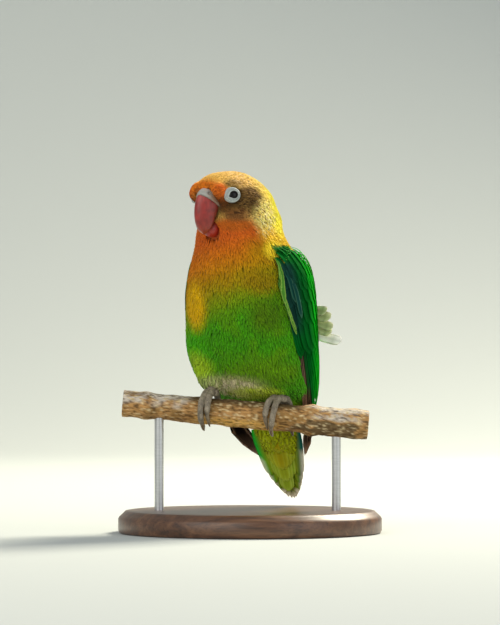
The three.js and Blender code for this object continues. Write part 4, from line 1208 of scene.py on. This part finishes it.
for height, first, last, count in (  # the rows of small coverts up to the shoulder
    (115.5, 63, 132, 12), (118.5, 64, 128, 11), (121, 68, 121, 9), (123.3, 75, 114, 7), (125.2, 83, 106, 5),
):
    ends = (height, first), (height + 1, last), (height - 9, first), (height - 8, last + 3)
    wingTiers.append(("covert", count, *ends, 2.2, (1.6, 2.7), shortVane))
wingTilt = {"plain": 0.1, "end": 1.1, "from": 54, "to": 40}  # the wing's tip turns its blades to the front


def degreesAcross(z, side):
    a = wingPoint(z, 101 + 0 * z, 0 * z, side)
    b = wingPoint(z, 99 + 0 * z, 0 * z, side)
    return 2 / np.maximum(np.linalg.norm(a - b, axis=-1), 0.05)


def wingColour(points, side):  # green, blue-black along the front edge, bright along the back edge partly as painted rim light, and a painted pale highlight high on the back edge
    flat = points.reshape(-1, 3)
    z = flat[:, 2]
    folded = sideAngle(z, flat) * side - wingBack(z, side)
    front = (1 - ease(folded, 70, 84)) * (side > 0)
    return painted("#02561a", [
        ("#0c7426", ease(z, 112, 122) * 0.6),
        ("#163c34", front * ease(z, 84, 92) * (1 - ease(z, 117, 121))),
        # Brighter green towards the back edge: partly the feathers' colour, partly painted rim light.
        ("#00960f", ease(folded, 86, 100)),
        # Painted highlight: pale green along the top of the back edge.
        ("#a8c878", ease(z, 110, 118) * ease(folded, 106, 114) * 0.25),
        ("#2f9a1c", (1 - ease(folded, 70, 90)) * (side < 0)),
    ]).reshape(points.shape)


kindColours = {"alula": ("#12403a", "#3f6e58", 0.6), "marginal": ("#4c8630", "#94b850", 0.5)}


def wingFeather(tier, side, k):
    kind, count, rootFirst, rootLast, tipFirst, tipLast, half, lifts, widths = tier
    share = k / (count - 1)
    primary = kind == "primary"
    rootZ, rootA = (mix(a, b, share) for a, b in zip(rootFirst, rootLast))
    tipZ = mix(tipFirst[0], tipLast[0], share ** (quill["bunched"] if primary else 1))
    tipA = mix(tipFirst[1], tipLast[1], share)
    full = mix(*lifts, share)
    bend = {"primary": quill["bend"], "secondary": 1.6}.get(kind, 1)
    jitter = draw.normal(0, 1, 3)
    tipZ += 0.5 * jitter[0]
    tipA += 0.4 * jitter[1]
    half = half * (1 + 0.05 * jitter[2])
    if primary and side < 0:
        tipZ -= quill["longer"]
        half = half * quill["wider"]

    def place(t, aside, lift):
        z = mix(rootZ, tipZ, t)
        folded = mix(rootA, tipA, np.clip(t, 0, 1) ** bend)
        rise = mix(min(0.2, full), full, np.minimum(1, t * 3))
        if side < 0:
            rise = rise * mix(0.2, 1, ease(folded, 62, 88))
        return wingPoint(z, folded + aside * degreesAcross(z, side), rise + lift, side)

    def tilt(t):
        low = 1 - ease(mix(rootZ, tipZ, t), wingTilt["to"], wingTilt["from"])
        return mix(wingTilt["plain"], wingTilt["end"], low)

    feather = vaneRings(place, -side, half, widths, rootZ - tipZ, tilt, 0.06)
    if kind in kindColours:
        centreTone, edgeTone, rimFrom = kindColours[kind]
        return shaded(feather, linear(centreTone), linear(edgeTone), 0.3, rimFrom)
    if primary and share < 0.62:
        upper = (ease(mix(rootZ, tipZ, feather["t"]), 58, 66) * (share > 0.4))[..., None]
        blade = mix(linear("#18120f"), linear("#0a3a1a"), upper)
        rim = mix(linear("#b8967c" if share < 0.4 else "#7c6450"), linear("#1f8030"), upper)
        return shaded(feather, blade, rim, 0.3, 0.75)
    base = wingColour(feather["rings"], side)
    return shaded(feather, base * 0.84, base * 1.25)


# A few feathers stand out behind the left wing: root height and angle, tip height, angle, lift, half width.
ruffled = [
    ((98, 118), (97, 112, 6.2), 2.6), ((96, 118), (94, 112, 7.8), 2.8), ((93, 119), (89.6, 112, 8.4), 2.4),
    ((90.5, 120), (87.4, 113, 7.6), 2.6), ((87, 120), (83.2, 113, 11.8), 2.7),
]


def ruffledFeather(root, end, half):
    white = end[2] > 10

    def place(t, aside, lift):
        z = mix(root[0], end[0], t) + 0.8 * aside
        angle = mix(root[1], end[1], t) + lift * degreesAcross(z, 1)
        return wingPoint(z, angle, end[2] * t + 0.6 * aside * t, 1)

    feather = vaneRings(place, -1, half, longVane if white else shortVane, end[2] + 6, lambda t: 0 * t, 0.0)
    shaded(feather, linear("#fbfaf2" if white else "#c0c890"), linear("#fffff4" if white else "#f2f0cc"), 0.5)
    dark = ease(feather["t"], 0.5, 0.6) * (1 - ease(feather["t"], 0.72, 0.82)) * (0.25 if white else 0.6)
    feather["colours"] = painted(feather["colours"], [("#7c8c5c", dark)])
    return feather


for side, name in ((1, "left"), (-1, "right")):
    feathers = [wingFeather(tier, side, k) for tier in wingTiers for k in range(tier[1])]
    if side > 0:
        feathers += [ruffledFeather(*row) for row in ruffled]
    vanePiece(f"wing_feathers_{name}", feathers, 90, 128, "wing_plumage", f"wing_{name}")


# The tail.
tailPairs = {"count": 6, "root": 1.9, "tip": 1.25, "half": 2.7, "top": 0.9, "drop": 0.42, "shorter": 0.016}


def tailFeather(start, end, aside, lift, half, widths, face):
    # start and end are shares of the tail's length; aside and lift follow the share along the feather.
    def place(t, across, height):
        return tailPoint(mix(start, end, t), aside(t) + across, lift(t) + face * height)

    return vaneRings(place, face, half, widths, (end - start) * tailLength, lambda t: 0 * t, 0.08)


tailFeathers = []
upperFace = ((ringBehind < 0.5) & (np.abs(ringAcross) < 0.9))[None]
for pair in range(tailPairs["count"]):
    for side in (1, -1):
        order = pair + 0.5
        feather = tailFeather(
            0.28, 1 - tailPairs["shorter"] * pair**1.7,
            lambda t: side * order * mix(tailPairs["root"], tailPairs["tip"], t),
            lambda t: tailPairs["top"] - tailPairs["drop"] * order + 0 * t,
            tailPairs["half"], longVane, 1,
        )
        shaded(feather, linear("#9aae22"), linear("#7fae26"))
        q, t = feather["q"] * side, feather["t"]
        begin = 0.56 if side > 0 else 0.42
        rim = ease(q, 0.35, 0.8)[None]
        edged = np.maximum(
            ease(t, begin, begin + 0.12) * rim * (order > 5), ease(t, 0.6, 0.8) * rim * (3 < order < 5)
        )
        feather["colours"] = painted(feather["colours"], [
            ("#2cc63a" if side > 0 else "#1f7468", ease(q, -0.3, 0.4)[None] * ease(order + 0 * t, 3, 5)),
            ("#2f9226", 0.8 * upperFace + 0 * t),
            ("#d9701c", ease(t, 0.5, 0.62) * (1 - ease(t, 0.72, 0.8)) * upperFace * (order > 1) * 0.8),
            ("#1a2410", ease(t, 0.78, 0.83) * (1 - ease(t, 0.88, 0.92)) * upperFace * (order > 1) * 0.8),
            # Cream tips and edges, partly the feathers' own pale colour, partly a painted glow of light
            # shining through them.
            ("#fdfbe0", np.maximum(ease(t, 0.9, 0.96) * (order < 3), edged)),
        ])
        # The tip points take the same cream, partly painted glow.
        feather["tipColour"] = linear("#fdfbe0")
        tailFeathers.append(feather)
covertRows = [  # face, how many, from, to, lift at both ends, spread, half width, colours
    (1, 8, 0.02, 0.3, 4.6, 2.2, 2.6, 2.3, "#2b5c9c", "#3f78b4"),
    (1, 7, 0.14, 0.44, 3.4, 1.9, 2.7, 2.3, "#2a6f8a", "#3c8f7a"),
    (1, 6, 0.28, 0.56, 2.4, 1.6, 2.8, 2.3, "#2c8038", "#3c9a3c"),
    (-1, 8, 0.0, 0.34, 4.7, 3.6, 2.5, 2.6, "#b4bc24", "#c0c838"),
    (-1, 7, 0.12, 0.5, 4.2, 3.4, 2.2, 2.6, "#a8be28", "#bccc3c"),
    (-1, 7, 0.26, 0.68, 3.2, 3.0, 1.8, 2.5, "#a8c02c", "#bed040"),
    (-1, 6, 0.42, 0.8, 2.5, 2.6, 1.7, 2.3, "#a0c832", "#bcd850"),
    (-1, 4, 0.58, 0.9, 2.2, 2.4, 1.2, 2.0, "#a0c838", "#bcd858"),
]
for face, count, start, end, low, high, spread, half, centre, edge in covertRows:
    for k in range(count):
        order = k - (count - 1) / 2
        feather = tailFeather(
            start, end - 0.008 * order**2,
            lambda t: order * spread * mix(1, 0.84, t),
            lambda t: face * (mix(low, high, t) - 0.1 * order**2),
            half, shortVane, face,
        )
        outer = min(1, abs(order) / 3)
        middle = mix(linear("#bcb01c"), linear("#a4c030"), ease(end, 0.6, 0.9))
        inner = mix(middle, linear(centre), outer) if face < 0 else linear(centre)
        tailFeathers.append(shaded(feather, inner, linear(edge), 0.3))
vanePiece("tail_feathers", tailFeathers, 20, 62, "tail_plumage", "tail")


# The feet and the claws, in the perch's frame.
footSettings = {
    "voxel": 0.17, "scutes": 22, "scuteRise": 0.06, "clawFrom": -1, "clawTurn": 38,
    "tarsus": [1.7, 1.75, 1.6, 1.7, 1.9], "claw": [0.95, 0.92, 0.84, 0.74, 0.6, 0.42, 0.12],
}


def toeShape(share, angle):  # scutes over the top of the toe, a pad under each joint
    scute = (share * footSettings["scutes"]) % 1
    over = ease(np.cos(angle), -0.1, 0.6)
    rise = footSettings["scuteRise"] * np.sqrt(np.clip(1 - scute, 0, 1)) * over
    pad = 0.2 * np.abs(np.sin(3 * math.pi * share)) * ease(-np.cos(angle), 0.1, 0.9)
    return 1 + rise + pad


for leg in feet:
    pieces = []
    for toe in leg["toes"]:
        shares = np.linspace(0, 1, 9)
        path = toePoint(leg, toe, shares)
        radii = foot["toe"] - 0.25 * shares + 0.12 * np.abs(np.sin(3 * math.pi * shares))
        radii[-1] *= 0.72
        pieces.append(sleeve("toe", 24, 150, tubePlace(path, radii, (-toe[1], 0, 0), toeShape)))
    ankle = np.array(perchInBird.inverted() @ Vector(leg["ankle"]))
    ball = np.array([leg["x"], 0.2, foot["grip"]])
    bend = mix(ball, ankle, 0.5) + np.array([0, -0.6, 0])
    shank = tubePlace([ball, bend, ankle], footSettings["tarsus"], (1, 0, 0), toeShape)
    pieces.append(sleeve("tarsus", 24, 60, shank))
    leg["piece"] = joined(pieces, f"foot_skin_{leg['name']}")
    applyModifier(leg["piece"], "REMESH", mode="VOXEL", voxel_size=footSettings["voxel"])
    applyModifier(leg["piece"], "SMOOTH", factor=0.5, iterations=2)
    bpy.ops.object.shade_smooth()
    settle(leg["piece"], perchFrame)
    claws = []
    for toe in leg["toes"]:
        span = foot["toeTop"] - toe[5]
        shares = 1 + (footSettings["clawFrom"] + footSettings["clawTurn"] * np.linspace(0, 1, 7)) / span
        path = np.stack([toePoint(leg, toe, s, 0.1 * i) for i, s in enumerate(shares)])
        claws.append(sleeve("claw", 20, 30, tubePlace(path, footSettings["claw"], (-toe[1], 0, 0))))
    leg["claws"] = joined(claws, f"claw_horn_{leg['name']}")
    settle(leg["claws"], perchFrame)

# Scaled foot skin: dry, grey with a mauve cast, small scales with pale edges.
footSkin = surface("Scaled foot skin, grey", {"Roughness": 0.62, "IOR": 1.5}, [
    ("Noise", {"Scale": 500.0, "Detail": 4.0}, None,
     [(0.3, "#6d6455"), (0.52, "#8f8470"), (0.75, "#ab9f8a")]),
    ("Voronoi", {"feature": "DISTANCE_TO_EDGE", "Scale": 1500.0}, None,
     [(0.02, (0.62, 0.6, 0.6)), (0.12, (1, 1, 1))]),
], marked=False, bump=(0.6, 0.00012))

# Claw horn: brown, satin, with faint streaks.
clawHorn = surface("Claw horn, brown", {"Roughness": 0.35, "IOR": 1.54}, [
    ("Noise", {"Scale": 1200.0, "Detail": 3.0}, None, [(0.3, "#5a4c3a"), (0.7, "#85755a")]),
], marked=False)
for leg in feet:
    finished(leg["piece"], footSkin, "foot_skin", f"foot_{leg['name']}")
    finished(leg["claws"], clawHorn, "claw_horn", *[f"claw_{leg['name']}_{toe[0]}" for toe in leg["toes"]])
print("feet done")


# The perch.
perchSettings = {"start": -56, "end": 52, "radius": 6, "sides": 96, "cuts": 240}
knots = [(-46, 0.7, 3.5), (-8, 0.35, 4), (27, 0.8, 3), (46, 0.9, 4)]  # place, height, width


def perchPlace(share, angle):
    x = mix(perchSettings["start"], perchSettings["end"], share)
    radius = perchSettings["radius"] + 0.006 * x + 0.18 * np.sin(0.21 * x + 0.6) + 0.1 * np.sin(0.53 * x)
    for at, height, width in knots:
        radius = radius + height * np.exp(-(((x - at) / width) ** 2))
    radius = radius * (1 + 0.02 * np.sin(3 * angle + 0.05 * x))
    bark = np.stack([x * 0.35, 6 * np.cos(angle), 6 * np.sin(angle)], -1)
    ridges = grain(bark, 1.1) * 0.14 + grain(bark, 0.5, 9) * 0.1
    flakes = ease(grain(bark * np.array([0.6, 1, 1]), 2.6, 21), 0.05, 0.16) * 0.22
    shown = radius - 0.22 + ridges + flakes
    return np.stack([x, shown * np.cos(angle), shown * np.sin(angle)], -1)


def barkColours(points):  # ochre bark, with a painted grey-white highlight on top near both ends, dark scars and fine specks
    x, z = points[:, 0], points[:, 2]
    stretched = points * np.array([0.5, 1, 1])
    patches, flecks = grain(stretched, 3.6, 5), grain(stretched, 0.9, 11)
    # Painted highlight: grey-white along the top of the branch towards both ends.
    paintedTopHighlight = ease(np.maximum(-24 - x, x - 22), 0, 8) * ease(z + 3 * patches, 0.5, 3.2)
    return painted("#ba8e56", [
        ("#94733f", ease(patches, -0.05, 0.35) * 0.7),
        # Painted shadow: the top of the branch darker, except near its right end.
        ("#48391c", ease(z, 2.2, 5.2) * (1 - ease(x, 18, 26)) * 0.85),
        ("#e6b862", ease(-z, 1, 4) * near(points, (-5, 0, 0), (18, 30, 30))),
        ("#d2c8ba", paintedTopHighlight * ease(flecks + patches, -0.4, 0.15)),
        ("#4e4630", ease(x, 10, 22) * ease(-patches, -0.1, 0.12) * ease(-z, -3, 0) * 0.8),
        ("#4c361a", ease(flecks, 0.18, 0.4) * 0.75),
        ("#ecdcae", ease(-flecks, 0.24, 0.45) * 0.6),
    ])


branch = sleeve("perch_branch", perchSettings["sides"], perchSettings["cuts"], perchPlace)
tinted(branch, barkColours)
bpy.ops.object.mode_set(mode="EDIT")
selectWhere(branch, "FACE", lambda face: len(face.verts) > 4)
bpy.ops.mesh.inset(thickness=0.7, depth=0.25)
bpy.ops.mesh.inset(thickness=0.5, depth=-0.1)
bpy.ops.object.mode_set(mode="OBJECT")
bpy.ops.object.shade_smooth_by_angle(angle=math.radians(50))
settle(branch, perchFrame)

# Dry bark: matt, with short fibres along the branch.
bark = surface("Dry bark, ochre", {"Roughness": 0.88, "IOR": 1.45}, [
    ("Noise", {"Scale": 1300.0, "Detail": 5.0, "Roughness": 0.7}, (0.3, 1.0, 1.0),
     [(0.3, (0.5, 0.46, 0.42)), (0.62, (1.15, 1.13, 1.1))]),
], bump=(0.8, 0.0004))
finished(branch, bark, "branch", "perch")

# The stand: a round base and two rods into the perch.
standSides = 144
standProfile = [
    [50, 0], [56.6, 0], [57.6, 0.5], [58, 1.6], [58, 6.4], [57.5, 7.4], [56.6, 8.2], [55.7, 9], [54.9, 9.8],
    [53.8, 10], [44, 10],
]


def standPlace(share, angle):
    last = len(standProfile) - 1
    radius, z = along((np.arange(last + 1), np.array(standProfile, float)), share * last)
    return np.stack([radius * np.cos(angle), radius * np.sin(angle), z], -1)


base = sleeve("stand_base_wood", standSides, len(standProfile) - 2, standPlace)
bpy.ops.object.shade_smooth_by_angle(angle=math.radians(35))
settle(base, worldFrame)
# Varnished walnut: fine straight grain under a satin varnish.
walnut = surface("Walnut, satin varnish", {"Roughness": 0.38, "Coat Weight": 0.3, "Coat Roughness": 0.3}, [
    ("Noise", {"Scale": 260.0, "Detail": 6.0, "Roughness": 0.6, "Distortion": 0.6}, (0.09, 1.0, 1.0),
     [(0.3, "#3d2617"), (0.5, "#5e3d26"), (0.72, "#7c5638")]),
    ("Noise", {"Scale": 1400.0, "Detail": 2.0}, (0.09, 1.0, 1.0),
     [(0.35, (0.6, 0.6, 0.6)), (0.5, (1, 1, 1))]),
], marked=False, blend=0.8)
finished(base, walnut, "stand_wood", "stand_base")

# Brushed steel rod: fine lines round it from turning.
steel = surface("Stainless steel, turned", {"Metallic": 1.0, "Roughness": 0.32}, [
    ("Noise", {"Scale": 2500.0, "Detail": 2.0}, (0.1, 0.1, 1.0), [(0.3, "#bcbebf"), (0.7, "#c9cacb")]),
], marked=False)
rodSettings = {"radius": 2, "sides": 48, "foot": 6.0, "perch": 52, "slope": 5, "under": 6, "into": 4}
for name, x in (("left", -40), ("right", 38)):
    drop = math.tan(math.radians(rodSettings["slope"])) * x
    low, high = rodSettings["foot"], rodSettings["perch"] - drop - rodSettings["under"] + rodSettings["into"]
    deselect()
    bpy.ops.mesh.primitive_cylinder_add(
        vertices=rodSettings["sides"], radius=rodSettings["radius"], depth=high - low,
        location=(x, 0, (low + high) / 2),
    )
    rod = bpy.context.object
    rod.name = rod.data.name = f"rod_steel_{name}"
    bpy.ops.object.transform_apply(location=True, rotation=True, scale=True)
    bpy.ops.object.shade_smooth_by_angle(angle=math.radians(40))
    settle(rod, worldFrame)
    finished(rod, steel, "stand_steel", f"stand_rod_{name}")
print("perch and stand done")
